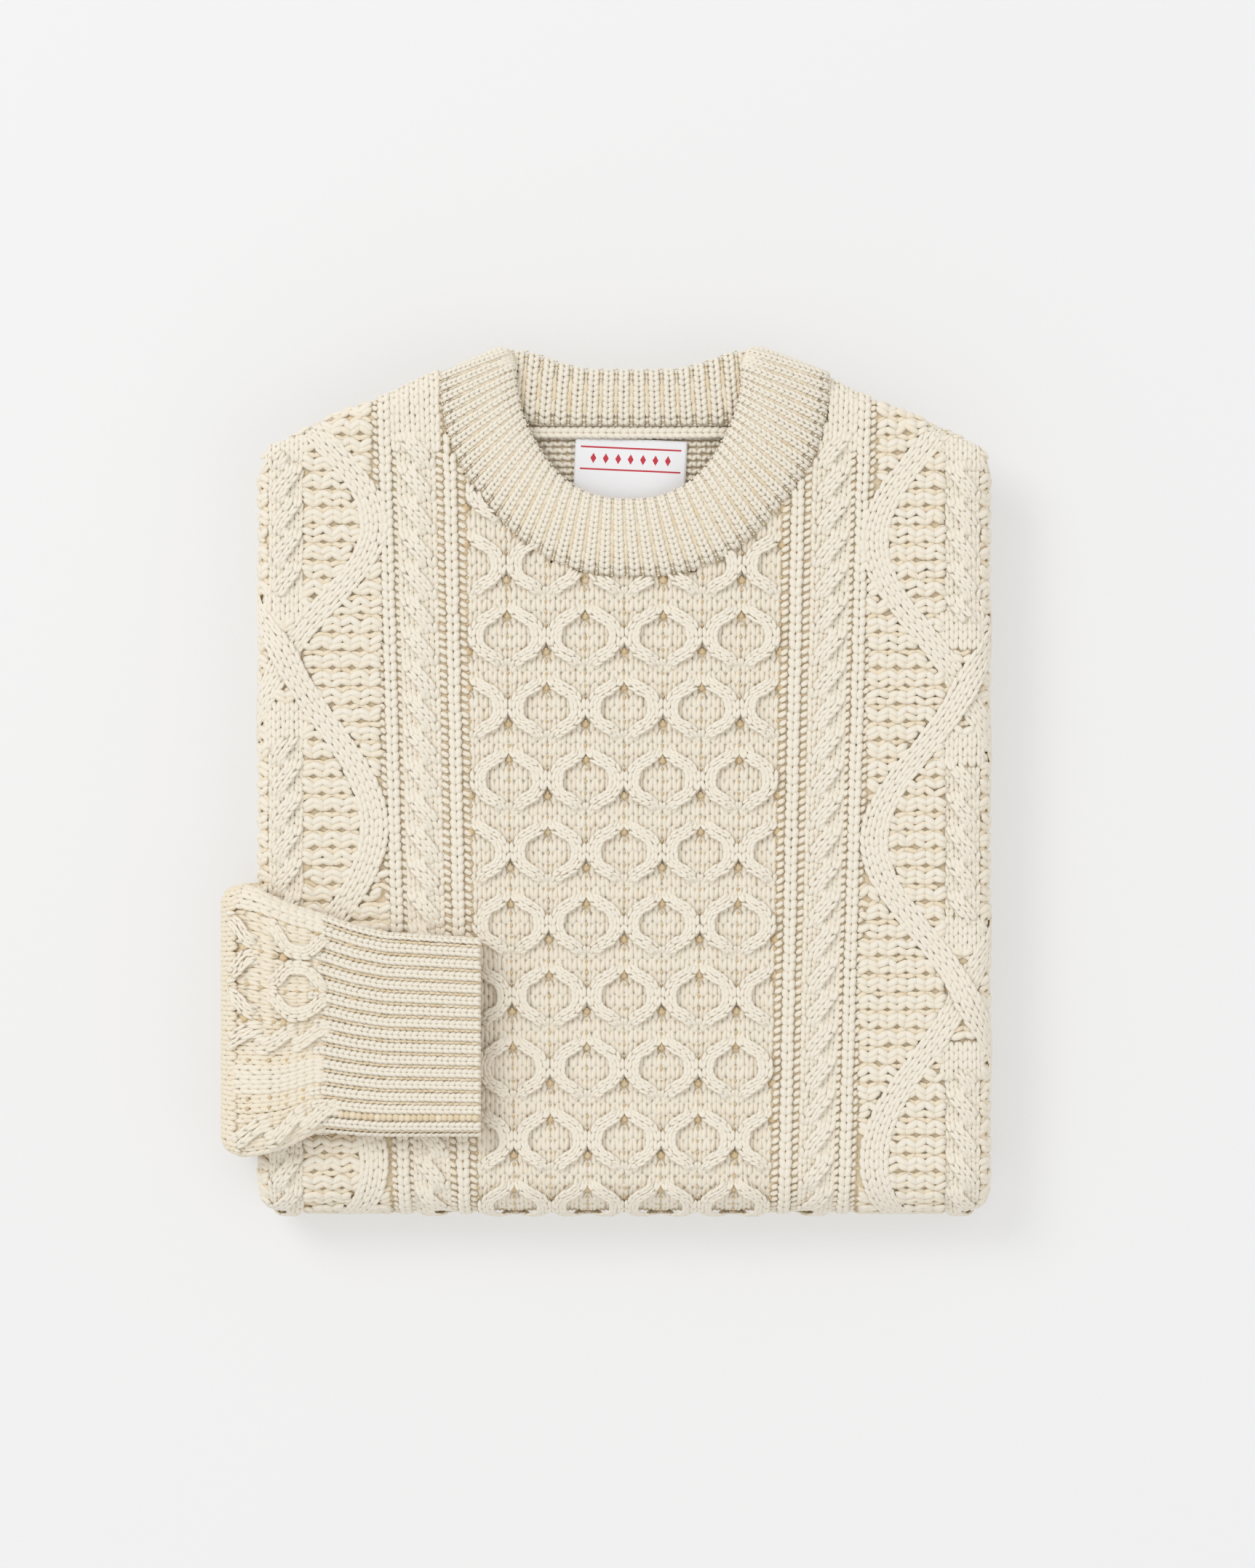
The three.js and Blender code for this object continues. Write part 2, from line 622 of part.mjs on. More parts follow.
// All that is folded out of sight, in one rounded solid: the core under the front, the sides and the second
// sleeve behind the back, and the lower half of the body with the edges of its sheets at the collar end.
function buildHiddenLayers() {
  const { centre, flatHalfWidth, foldY, foldRadius, middleZ, sideRadius } = body;
  const coreRadius = sideRadius - wall - 2 * gap;
  const coreEnd = shoulder.backEnd - gap;
  const core = roundedSlab(
    roundedRectangle(flatHalfWidth + coreRadius, foldY, coreEnd, coreRadius + 0.5),
    middleZ - coreRadius,
    middleZ + coreRadius,
  );
  const inner = flatHalfWidth - 5;
  const bendRadius = foldRadius - wall - 3 * gap;
  const filling = block(centre - inner, centre + inner, foldY, coreEnd - 8, 10, middleZ + 2);
  const bend = new THREE.CylinderGeometry(bendRadius, bendRadius, inner * 2, 28);
  bend.rotateZ(Math.PI / 2);
  bend.translate(centre, foldY, foldRadius);
  const bendSolid = toSolid(bend).intersect(block(-400, 400, foldY - 60, foldY + 12, -10, 60));
  const lower = roundedSlab(
    roundedRectangle(lowerStack.halfWidth, foldY + gap, lowerStack.hemEnd, 12.5),
    0,
    lowerStack.top,
  );
  const step = lowerStack.sheetStep;
  const hemOutline = roundedRectangle(lowerStack.halfWidth - 6, -60, lowerStack.collarEnd, 12.5);
  const hem = roundedSlab(hemOutline, 0, step);
  const flaps = roundedSlab(
    roundedRectangle(lowerStack.halfWidth - 12, -60, lowerStack.collarEnd - 12, 12.5),
    step - 0.6,
    lowerStack.top,
  );
  const behind = [];
  for (let k = -16; k <= 16; k += 1) {
    const across = -k * 10;
    behind.push(new THREE.Vector2(centre + across, Math.min(shoulderAt(across), shoulder.layersLimit) - 9));
  }
  behind.push(new THREE.Vector2(centre - 160, -40), new THREE.Vector2(centre + 160, -40));
  const sleeves = roundedSlab(behind, lowerStack.top - 2, shoulder.backFloor - gap);
  const squared = block(centre - 150, centre + 150, foldY + 1, lowerStack.hemEnd - 30, 0, 14);
  const pieces = [filling, bendSolid, lower, hem, flaps, sleeves, squared];
  const whole = pieces.reduce((sum, piece) => sum.add(piece), core);
  return whole.subtract(sleeveRoom());
}

// Places on the sleeve's middle line: out from under the folded body, up the left side and onto the front.
function sleevePath(steps) {
  const { thickness, standX, turnX, turnZ, startX, joinX } = sleeve;
  const radius = turnX - standX;
  const arc = (Math.PI / 2) * radius;
  const lowZ = thickness / 2 + radius;
  const ends = [startX - turnX, arc, turnZ - lowZ, arc, joinX - turnX];
  const total = ends.reduce((sum, length) => sum + length, 0);
  const stations = [];
  for (let k = 0; k <= steps; k += 1) {
    const s = (total * k) / steps;
    let left = s;
    const stretch = ends.findIndex((length, n) => {
      if (left <= length + 1e-9 || n === ends.length - 1) return true;
      left -= length;
      return false;
    });
    const angle = left / radius;
    const places = [
      { x: startX - left, z: thickness / 2, out: [0, -1] },
      {
        x: turnX - radius * Math.sin(angle),
        z: lowZ - radius * Math.cos(angle),
        out: [-Math.sin(angle), -Math.cos(angle)],
      },
      { x: standX, z: lowZ + left, out: [-1, 0] },
      {
        x: turnX - radius * Math.cos(angle),
        z: turnZ + radius * Math.sin(angle),
        out: [-Math.cos(angle), Math.sin(angle)],
      },
      { x: turnX + left, z: turnZ + radius, out: [0, 1] },
    ];
    stations.push({ ...places[stretch], s });
  }
  return stations;
}

// Edges of the sleeve and cuff along X, at the collar side and at the fold side.
const sleeveEdges = [
  { x: -186.5, high: -54, low: -176 },
  { x: -172, high: -50, low: -179 },
  { x: -156, high: -58, low: -175 },
  { x: -138.7, high: -63.5, low: -166 },
  { x: -122, high: -69.5, low: -167.5 },
  { x: -107, high: -73, low: -168.3 },
  { x: -60.4, high: -76, low: -168.3 },
];

// A flattened tube's section: a raised upper face, two round edges and a plain lower face.
function tubeSection(station, thickness, count, relief, grow = 0) {
  const half = thickness / 2;
  const high = read(sleeveEdges, "x", station.x, "high") - half + grow;
  const low = read(sleeveEdges, "x", station.x, "low") + half - grow;
  const at = (y, h) => new THREE.Vector3(station.x + station.out[0] * h, y, station.z + station.out[1] * h);
  const ring = [];
  for (let k = 0; k <= count; k += 1) {
    const y = low + ((high - low) * k) / count;
    ring.push(at(y, half + relief(k, station)));
  }
  for (const angle of [0.25, 0.5, 0.75]) {
    ring.push(at(high + half * Math.sin(angle * Math.PI), half * Math.cos(angle * Math.PI)));
  }
  for (let k = 0; k <= 4; k += 1) ring.push(at(high + ((low - high) * k) / 4, -half));
  for (const angle of [0.75, 0.5, 0.25]) {
    ring.push(at(low - half * Math.sin(angle * Math.PI), half * Math.cos(angle * Math.PI)));
  }
  return ring;
}

// Sleeve relief on rows across the tube: ropes and open rings run along it, with plain ladders between. It is
// left out where the sleeve faces the floor.
function sleeveRelief(k, station) {
  const bands = [0, 0.5, 0.2, 1, 0.9, 0.1, 1, 1, 0.1, 0.6, 0.1, 1, 0.7, 1, 0.1, 0.5, 0];
  const beat = Math.round(station.s / 5.9 + k * 0.5) % 2 === 0 ? 1 : 0.45;
  const facing = THREE.MathUtils.clamp(station.out[1] * 2 + 1.4, 0, 1);
  return 1.9 * bands[k] * beat * facing;
}

// The sleeve's whole envelope, a little larger than the sleeve, which the folded layers leave free.
function sleeveRoom() {
  const stations = sleevePath(24);
  stations[0].x += 1;
  const thickness = sleeve.thickness + 2 * gap;
  const grown = stations.map((station) => tubeSection(station, thickness, 4, () => 0, 2 * gap));
  return loft(grown);
}

function buildSleeve() {
  const stations = sleevePath(24);
  const tube = loft(stations.map((station) => tubeSection(station, sleeve.thickness, 16, sleeveRelief)));
  const room = stations.map((station) => ({ ...station }));
  room[0].x += 2;
  room[room.length - 1].x += 2;
  return tube.subtract(flatRoom(room, 1.2));
}

// The flat space inside a tube, as a thin body that runs past both ends.
function flatRoom(stations, height) {
  const rings = stations.map((station) => {
    const high = read(sleeveEdges, "x", station.x, "high") - cuff.hem - 2;
    const low = read(sleeveEdges, "x", station.x, "low") + cuff.hem + 2;
    const at = (y, h) => new THREE.Vector3(station.x + station.out[0] * h, y, station.z + station.out[1] * h);
    return [at(low, height / 2), at(high, height / 2), at(high, -height / 2), at(low, -height / 2)];
  });
  return loft(rings);
}

function buildCuff() {
  const z = sleeve.turnZ + (sleeve.turnX - sleeve.standX) - (sleeve.thickness - cuff.thickness) / 2;
  const start = sleeve.joinX + gap;
  const marks = [0, 0.1, 0.22, 0.4, 0.7, 0.95, 1];
  const stations = marks.map((share) => ({
    x: start + (cuff.mouthX - start) * share,
    z,
    out: [0, 1],
    s: share,
  }));
  const relief = (k, { s }) => (k % 2 === 0 ? -cuff.ribDepth : 0.2) - (s === 1 ? 1.1 : 0);
  const tube = loft(stations.map((station) => tubeSection(station, cuff.thickness, cuff.ribs * 2, relief)));
  const room = stations.map((station) => ({ ...station }));
  room[0].x -= 2;
  room[room.length - 1].x += 2;
  return tube.subtract(flatRoom(room, cuff.slit));
}

function buildLabel() {
  const plate = new THREE.BoxGeometry(label.width, label.height, label.thickness);
  plate.rotateZ(label.turn);
  const level = shoulder.backFloor + wall + 0.9 + gap + label.thickness / 2;
  plate.translate(label.x, label.up, level);
  return toSolid(plate);
}

const sweater = new THREE.Group();
sweater.add(toMesh(buildHiddenLayers(), "hidden_layers", colours.inside));
sweater.add(toMesh(buildFront(), "front", colours.yarn));
sweater.add(toMesh(buildBack(), "back", colours.inside));
sweater.add(toMesh(buildNeckband(), "neckband", colours.yarn));
sweater.add(toMesh(buildLabel(), "label", colours.label));
sweater.add(toMesh(buildSleeve(), "sleeve", colours.yarn));
sweater.add(toMesh(buildCuff(), "cuff", colours.yarn));

export default sweater;
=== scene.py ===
"""Folded cable knit sweater: every stitch is laid on the folded cloth from a knitting chart.

Charts are in millimetres: across the cloth, along its wales and out of its face. A surface function
folds a chart point into space.
"""

import math

import bmesh
import bpy
import numpy as np
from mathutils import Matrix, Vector
from mathutils.bvhtree import BVHTree


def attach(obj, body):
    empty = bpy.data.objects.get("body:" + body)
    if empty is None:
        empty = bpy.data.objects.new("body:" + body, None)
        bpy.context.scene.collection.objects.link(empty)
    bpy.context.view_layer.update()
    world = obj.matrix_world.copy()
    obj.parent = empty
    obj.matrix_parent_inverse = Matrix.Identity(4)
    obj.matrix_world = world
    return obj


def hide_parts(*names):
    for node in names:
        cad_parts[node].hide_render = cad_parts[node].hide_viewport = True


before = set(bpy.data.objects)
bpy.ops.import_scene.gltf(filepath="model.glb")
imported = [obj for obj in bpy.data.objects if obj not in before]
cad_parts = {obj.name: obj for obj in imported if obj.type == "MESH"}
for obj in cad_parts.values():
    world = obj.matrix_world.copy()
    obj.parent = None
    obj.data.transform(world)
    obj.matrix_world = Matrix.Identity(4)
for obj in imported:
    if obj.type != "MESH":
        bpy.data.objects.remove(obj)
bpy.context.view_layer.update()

MM = 0.001
SEED = 4

# The folded body
BODY_CENTRE = 7.5
FLAT_HALF_WIDTH = 165.2
SIDE_RADIUS = 10.8
FRONT_TOP = 45.0
FOLD_Y = -185.5
FOLD_RADIUS = 22.5
SIDE_ARC = SIDE_RADIUS + 0.4
MIDDLE_Z = FRONT_TOP - SIDE_RADIUS
UNDER_FOLD = FOLD_Y - math.pi * FOLD_RADIUS
SIDE_LIMIT = FLAT_HALF_WIDTH + math.pi * SIDE_ARC
SEAM_Z = 38.5
ROLL_DEPTH = 8.0
ROLL_ARC = ROLL_DEPTH * math.pi / 2
CABLE = 3.0

# The shoulder line: across from the middle, and height up the picture
SHOULDER_ACROSS = (58, 66, 87, 101, 115, 136, 157, 170, 176, 179.5)
SHOULDER_UP = (211.5, 209.5, 202.5, 196.5, 189, 181, 172, 165.5, 158, 149)

# The neck: seam and free edge of the band, as half widths at heights
SEAM_CENTRE = 12.8
FREE_CENTRE = 9.6
NECK_SEAM = (
    (92.5, 198), (92.8, 186), (88, 163), (78.5, 145), (65.5, 128.5),
    (49, 113), (31, 103.8), (12, 99.9), (0, 99.5),
)
NECK_FREE = (
    (58, 209), (54.5, 200), (53.5, 190), (50.6, 177), (44.8, 164),
    (36, 151), (25, 142), (12.8, 137.4), (0, 136.4),
)
FRONT_RIBS = 47
BACK_RIBS = 22
BAND_TOP = 49.0
BAND_BOTTOM = 41.6
BACK_BAND_TOP = 40.9
BACK_BAND_BOTTOM = 32.4

# The band's back half: fold and seam, as heights at places across
BACK_FOLD = ((0, 199), (24, 199.4), (38, 203), (50, 207.5), (60, 208.5), (88, 199))
BACK_SEAM = ((0, 172.6), (45, 173), (60, 177), (75, 186), (88, 193))
BACK_HALF_WIDTH = 84.0
BACK_FACE_Z = 35.5

# The roll at each corner of the band: its ends, across from the seam's and the free edge's centre, and up
CORNER_SEAM = (90, 190.0)
CORNER_FREE = (54, 204.5)
CORNER_SLACK = 0.6

# The knitting: stitch width and row height, then the places of the panels
GAUGE = 4.64
ROW = 4.32
HONEYCOMB_CELLS = 8
HONEYCOMB_REPEAT = 17.3
HONEYCOMB_FIRST = 78.9
ROPE_MIDDLE = 97.3
ROPE_REPEAT = 15.8
ROPE_FIRST = 49.5
INNER_COLUMN = 81.4
OUTER_COLUMN = 111.7
DIAMOND_AXIS = 163.0
DIAMOND_REACH = 43.0
LEFT_CROSSES = (187.4, 61.0, -104.0, -262.0)
RIGHT_CROSSES = (187.4, 44.0, -101.0, -262.0)
MOSS_RIDGE = 8.65
MOSS_WAVE = 9.1
TAPER_PER_MM = 0.00023
TAPER_FROM = 26.0

# The sleeve and cuff, a flattened tube that climbs the left side and turns onto the front
SLEEVE_THICKNESS = 12.6
CUFF_THICKNESS = 12.0
STAND_X = -179.2
TURN_X = -162.2
TURN_Z = 38.3
SLEEVE_START_X = -146.0
JOIN_X = -138.9
MOUTH_X = -60.4
CUFF_RIBS = 16
TURN_RADIUS = TURN_X - STAND_X
LOW_TURN_Z = SLEEVE_THICKNESS / 2 + TURN_RADIUS

# The tube's outline in plan, and the half girth that its chart is drawn for
TUBE_X = (-186.5, -172, -156, -138.7, -122, -107, -60.4)
TUBE_HIGH = (-54, -50, -58, -63.5, -69.5, -73, -76)
TUBE_LOW = (-176, -179, -175, -166, -167.5, -168.3, -168.3)
TUBE_NOMINAL = 60.0

random = np.random.default_rng(SEED)


# Small helpers for rows of points


def columns(*values):
    """Rows of points from one array or number for each column."""
    return np.stack(np.broadcast_arrays(*[np.asarray(value, float) for value in values]), -1)


def grid(across, along):
    """Matching grids of chart places."""
    return np.meshgrid(across, along, indexing="ij")


def unit(vectors):
    """The same directions with length one."""
    return vectors / np.maximum(np.linalg.norm(vectors, axis=-1, keepdims=True), 1e-9)


def smooth(share):
    """Eases a share from 0 to 1."""
    share = np.clip(share, 0, 1)
    return share * share * (3 - 2 * share)


def run_of(points):
    """The length gone at each point of a line."""
    return np.concatenate([[0], np.cumsum(np.linalg.norm(np.diff(points, axis=0), axis=1))])


def read_line(at, run, points):
    """Places on a line, at marks that run along it."""
    return columns(*[np.interp(at, run, column) for column in points.T])


def padded(knots):
    """The knots with one more at both ends, straight on."""
    return np.vstack([2 * knots[0] - knots[1], knots, 2 * knots[-1] - knots[-2]])


NECK_ROUNDINGS = 4
NECK_POINTS = 400


def spaced_curve(table, centre, count):
    """Evenly spaced points of a mirrored neck curve, from its left end to its right end."""
    left = [(centre - half, up) for half, up in table]
    right = [(centre + half, up) for half, up in reversed(table[:-1])]
    knots = np.array(left + right, float)
    for _ in range(NECK_ROUNDINGS):
        ends = padded(knots)
        between = (9 * (ends[1:-2] + ends[2:-1]) - ends[:-3] - ends[3:]) / 16
        knots = np.vstack([np.stack([knots[:-1], between], 1).reshape(-1, 2), knots[-1:]])
    run = run_of(knots)
    return read_line(np.linspace(0, run[-1], count), run, knots)


def inside(points, outline):
    """Which points lie inside a closed outline in plan."""
    x, y = points[:, 0], points[:, 1]
    found = np.zeros(len(points), bool)
    for (x0, y0), (x1, y1) in zip(outline, np.roll(outline, -1, axis=0)):
        crosses = (y0 > y) != (y1 > y)
        rise = y1 - y0 if y1 != y0 else 1e-9
        found ^= crosses & (x < x0 + (y - y0) * (x1 - x0) / rise)
    return found


# Surfaces: from chart to folded cloth


def surface(place):
    """Lets a place on the cloth be asked for with numbers and arrays of any matching shapes."""
    return lambda across, along, out: place(*np.broadcast_arrays(across, along, out))


def shoulder_at(across):
    """Height of the shoulder line at a place across the body."""
    return np.interp(np.abs(across), SHOULDER_ACROSS, SHOULDER_UP)


def narrowing(along):
    """The panels narrow a little towards the bottom fold."""
    return 1 + TAPER_PER_MM * (along - TAPER_FROM)


@surface
def place_front(across, along, out):
    """The front: round the side folds, over the shoulder roll and round the bottom fold."""
    side = np.where(across < 0, -1.0, 1.0)
    reach = np.abs(across) - FLAT_HALF_WIDTH
    turn = np.clip(reach / SIDE_ARC, 0, math.pi)
    radius = SIDE_RADIUS + out
    flat = np.minimum(np.abs(across), FLAT_HALF_WIDTH)
    x = BODY_CENTRE + side * (flat + radius * np.sin(turn))
    outward = radius * np.cos(turn)
    bend = np.clip((FOLD_Y - along) / FOLD_RADIUS, 0, math.pi)
    from_axis = FOLD_RADIUS - SIDE_RADIUS + outward
    start = shoulder_at(x - BODY_CENTRE) - ROLL_DEPTH - CABLE
    z = MIDDLE_Z + outward
    roll = np.where(z < SEAM_Z, 0, np.clip((along - start) / ROLL_DEPTH, 0, math.pi / 2))
    y = np.minimum(along, start) + (ROLL_DEPTH + out) * np.sin(roll)
    z = np.where(roll > 0, SEAM_Z + (z - SEAM_Z) * np.cos(roll), z)
    under = along < FOLD_Y
    y = np.where(under, FOLD_Y - from_axis * np.sin(bend), y)
    z = np.where(under, FOLD_RADIUS + from_axis * np.cos(bend), z)
    return columns(x, y, z)


def front_end(across):
    """Where a wale of the front ends, behind the shoulder."""
    middle = place_front(across, 0.0, 0.0)
    start = shoulder_at(middle[..., 0] - BODY_CENTRE) - ROLL_DEPTH - CABLE
    return start + np.where(middle[..., 2] < SEAM_Z, 0, ROLL_ARC)


def tube_path(gone):
    """The sleeve's middle line: place and outward direction at a distance from its hidden start."""
    arc = math.pi / 2 * TURN_RADIUS
    turns = np.linspace(0, math.pi / 2, 9)
    sines, cosines = TURN_RADIUS * np.sin(turns), TURN_RADIUS * np.cos(turns)
    x = [SLEEVE_START_X, *(TURN_X - sines), *(TURN_X - cosines), MOUTH_X]
    z = [SLEEVE_THICKNESS / 2, *(LOW_TURN_Z - cosines), *(TURN_Z + sines), TURN_Z + TURN_RADIUS]
    facing = [-math.pi / 2, *(turns - math.pi / 2), *turns, math.pi / 2]
    first = SLEEVE_START_X - TURN_X
    second = first + arc + TURN_Z - LOW_TURN_Z
    run = TURN_RADIUS * turns
    marks = [0, *(first + run), *(second + run), second + arc + MOUTH_X - TURN_X]
    angle = np.interp(gone, marks, facing)
    return np.interp(gone, marks, x), np.interp(gone, marks, z), -np.cos(angle), np.sin(angle)


def path_at(x):
    """Distance along the sleeve's middle line to a place on its upper run."""
    return SLEEVE_START_X - TURN_X + math.pi * TURN_RADIUS + TURN_Z - LOW_TURN_Z + x - TURN_X


def place_tube(thickness):
    """The surface of the sleeve or cuff, a flattened tube of a given thickness."""
    half = thickness / 2

    @surface
    def place(across, along, out):
        x, z, out_x, out_z = tube_path(along)
        high, low = np.interp(x, TUBE_X, TUBE_HIGH), np.interp(x, TUBE_X, TUBE_LOW)
        half_width = (high - low) / 2
        flat = half_width - half
        local = across * half_width / TUBE_NOMINAL
        side = np.where(local < 0, -1.0, 1.0)
        reach = np.abs(local) - flat
        turn = np.clip(reach / half, 0, math.pi)
        back = np.maximum(0, reach - math.pi * half)
        from_middle = np.minimum(np.abs(local), flat) + (half + out) * np.sin(turn) - back
        height = (half + out) * np.cos(turn)
        return columns(x + out_x * height, (high + low) / 2 + side * from_middle, z + out_z * height)

    return place


SEAM_LINE = spaced_curve(NECK_SEAM, SEAM_CENTRE, NECK_POINTS)
FREE_LINE = spaced_curve(NECK_FREE, FREE_CENTRE, NECK_POINTS)
SEAM_LENGTH = float(np.linalg.norm(np.diff(SEAM_LINE, axis=0), axis=1).sum())

# Section of the doubled band: share of the way from seam to free edge, and height
BAND_SECTION = (
    (0.0, BAND_BOTTOM), (0.0, BAND_TOP - 2.4), (0.05, BAND_TOP - 1.1), (0.16, BAND_TOP - 0.3),
    (0.5, BAND_TOP), (0.8, BAND_TOP - 0.4), (0.93, BAND_TOP - 1.5), (0.99, BAND_TOP - 3.2),
    (1.0, BAND_TOP - 5), (0.96, BAND_BOTTOM + 0.5), (0.85, BAND_BOTTOM),
)
BAND_DEPTH = 37.0


def section_reader(section, depth):
    """A section's share, height and outward lean at a distance along it."""
    points = np.array(section, float)
    flat = points * (depth, 1)
    gone = run_of(flat)
    tangent = unit(np.gradient(flat, axis=0))

    def read(q):
        share, height = np.interp(q, gone, points[:, 0]), np.interp(q, gone, points[:, 1])
        return share, height, np.interp(q, gone, -tangent[:, 1]), np.interp(q, gone, tangent[:, 0])

    return read, float(gone[-1])


read_band, BAND_ROUND = section_reader(BAND_SECTION, BAND_DEPTH)


@surface
def place_band(across, along, out):
    """The band's front half: across is round the neck seam, along is from the seam over the free edge."""
    share, height, lean, rise = read_band(along)
    at = np.clip(across / SEAM_LENGTH + 0.5, 0, 1) * (len(SEAM_LINE) - 1)
    index = np.arange(len(SEAM_LINE))
    seam, free = read_line(at, index, SEAM_LINE), read_line(at, index, FREE_LINE)
    way = unit(free - seam)
    spot = seam + (free - seam) * share[..., None] + way * (lean * out)[..., None]
    return columns(spot[..., 0], spot[..., 1], height + rise * out)


BACK_SECTION = (
    (0.0, BACK_BAND_BOTTOM + 1), (0.0, BACK_BAND_TOP - 2.4), (0.08, BACK_BAND_TOP - 1.2),
    (0.3, BACK_BAND_TOP - 0.5), (0.8, BACK_BAND_TOP - 0.2), (0.95, BACK_BAND_TOP - 1.6),
    (1.0, 37.5), (0.97, 34), (0.85, BACK_BAND_BOTTOM),
)
BACK_DEPTH = 26.5
read_back_band, BACK_ROUND = section_reader(BACK_SECTION, BACK_DEPTH)


@surface
def place_back_band(across, along, out):
    """The band's back half, seen from inside, from its seam to its fold."""
    share, height, lean, rise = read_back_band(along)
    fold = np.interp(np.abs(across), *np.transpose(BACK_FOLD))
    seam = np.interp(np.abs(across), *np.transpose(BACK_SEAM))
    x = FREE_CENTRE + 1.4 + across * (1 - 0.06 * share)
    return columns(x, seam + (fold - seam) * share + lean * out, height + rise * out)


def place_corner(side):
    """The roll where the band turns from its front half to its back half: surface, radius, length."""
    radius = (BAND_TOP - BACK_BAND_BOTTOM) / 2 - CORNER_SLACK
    middle_z = (BAND_TOP + BACK_BAND_BOTTOM) / 2
    start = np.array([SEAM_CENTRE + side * CORNER_SEAM[0], CORNER_SEAM[1]])
    end = np.array([FREE_CENTRE + side * CORNER_FREE[0], CORNER_FREE[1]])
    length = float(np.linalg.norm(end - start))
    way = (end - start) / length
    outer = np.array([-way[1], way[0]]) * (1 if way[0] < 0 else -1)
    outer = outer * (1 if outer[1] > 0 else -1)

    @surface
    def place(across, along, out):
        past = np.clip(np.abs(along - length / 2) - length / 2 + radius, 0, None) / radius
        pinched = radius * np.sqrt(np.clip(1 - past**2, 0.05, 1)) + out
        angle = across / radius
        spot = start + way * along[..., None] + outer * (pinched * np.sin(angle))[..., None]
        return columns(spot[..., 0], spot[..., 1], middle_z + pinched * np.cos(angle))

    return place, radius, length


@surface
def place_back_inside(across, along, out):
    """The inside of the back, which lies level below the neck."""
    return columns(BODY_CENTRE + across, along, BACK_FACE_Z + out)


# Stitches: each is a few short strands, kept as start, end, yarn width and tone, which is lowered as
# painted shade where a strand lies in shade


def strands(start, end, width, tone):
    """Rows of strands between points, with one width and tone for all or one for each."""
    column = np.ones((len(start), 1))
    return np.hstack([start, end, column * np.reshape(width, (-1, 1)), column * np.reshape(tone, (-1, 1))])


def ends_of(legs):
    """The middle of each strand."""
    return (legs[:, :3] + legs[:, 3:6]) / 2


def rightward(step):
    """Unit step to the right of a chart direction, and how upright that direction is."""
    length = np.maximum(np.hypot(step[:, 0], step[:, 1]), 1e-6)
    return columns(step[:, 1] / length, -step[:, 0] / length, 0.0), np.abs(step[:, 1]) / length


# A V stitch's legs, as shares of the stitch width, and their reach, as shares of the row
FOOT_SPREAD = 0.09
HEAD_SPREAD = 0.4
LEG_WIDTH = 0.66
LEAST_SQUEEZE = 0.8
FOOT_REACH = 0.95
HEAD_REACH = 0.78
LEG_PER_ROW = 1.4
TILT = 0.22


def wale(path, rows, pitch, gauge, offset=0.0, tone=1.0, stretch=1.0):
    """A column of V stitches along a path, set off to its right by an offset."""
    foot = path(rows - FOOT_REACH * pitch * stretch)
    head = path(rows + HEAD_REACH * pitch * stretch)
    right, lean = rightward(head - foot)
    width = gauge * np.clip(lean, LEAST_SQUEEZE, 1)
    shift = right * (offset * width / gauge)[:, None]
    thick = LEG_WIDTH * np.minimum(width, LEG_PER_ROW * pitch)
    legs = []
    for side in (-1, 1):
        start = foot + shift + right * (side * FOOT_SPREAD * width)[:, None] + (0, 0, TILT)
        end = head + shift + right * (side * HEAD_SPREAD * width)[:, None] - (0, 0, TILT)
        legs.append(strands(start, end, thick, tone))
    return np.vstack(legs)


def rows_between(low, high, pitch):
    """Middles of the rows that fit between two heights."""
    count = max(1, int(round((high - low) / pitch)))
    return low + (np.arange(count) + 0.5) * (high - low) / count


def upright(across, out):
    """A straight path up the chart."""
    return lambda along: columns(across + 0 * along, along, out)


def curve(knots):
    """A smooth path through knots, read by the length along it, and its whole length."""
    knots = np.array(knots, float)
    share = np.linspace(0, 1, 12, endpoint=False)[:, None]
    longer = padded(knots)
    pieces = []
    for before, start, end, after in zip(longer, longer[1:], longer[2:], longer[3:]):
        bend = 2 * before - 5 * start + 4 * end - after
        twist = 3 * (start - end) + after - before
        pieces.append(start + share / 2 * (end - before + share * (bend + share * twist)))
    dense = np.vstack(pieces + [knots[-1:]])
    run = run_of(dense)
    return lambda at: read_line(at, run, dense), run[-1]


def band(knots, wales, gauge, pitch, stretch=1.0):
    """Several wales side by side along a smooth path."""
    path, length = curve(knots)
    rows = rows_between(0.3 * pitch, length - 0.3 * pitch, pitch)
    offsets = (np.arange(wales) - (wales - 1) / 2) * gauge
    return np.vstack([wale(path, rows, pitch, gauge, offset, stretch=stretch) for offset in offsets])


# A rib's legs, as shares of its width, of the row, and height above the rib's own
RIB_FOOT_SPREAD = 0.07
RIB_HEAD_SPREAD = 0.37
RIB_LEG_WIDTH = 0.46
RIB_FOOT_REACH = 0.85
RIB_HEAD_REACH = 0.75
RIB_FOOT_RISE = 0.3
RIB_HEAD_DROP = 0.35


def rib(across, rows, pitch, gauge, out=0.8):
    """A plump column of V stitches whose legs overlap, as in ribbing."""
    legs = []
    for side in (-1, 1):
        foot = across + side * RIB_FOOT_SPREAD * gauge
        head = across + side * RIB_HEAD_SPREAD * gauge
        start = columns(foot, rows - RIB_FOOT_REACH * pitch, out + RIB_FOOT_RISE)
        end = columns(head, rows + RIB_HEAD_REACH * pitch, out - RIB_HEAD_DROP)
        legs.append(strands(start, end, RIB_LEG_WIDTH * gauge, 1.0))
    return np.vstack(legs)


def rungs(left, right, rows, rise, out, width, tone):
    """Short strands from left to right that climb by the rise on both sides of each row."""
    return strands(columns(left, rows - rise, out), columns(right, rows + rise, out), width, tone)


THREAD_REACH = 0.8
THREAD_STRAY = 0.15


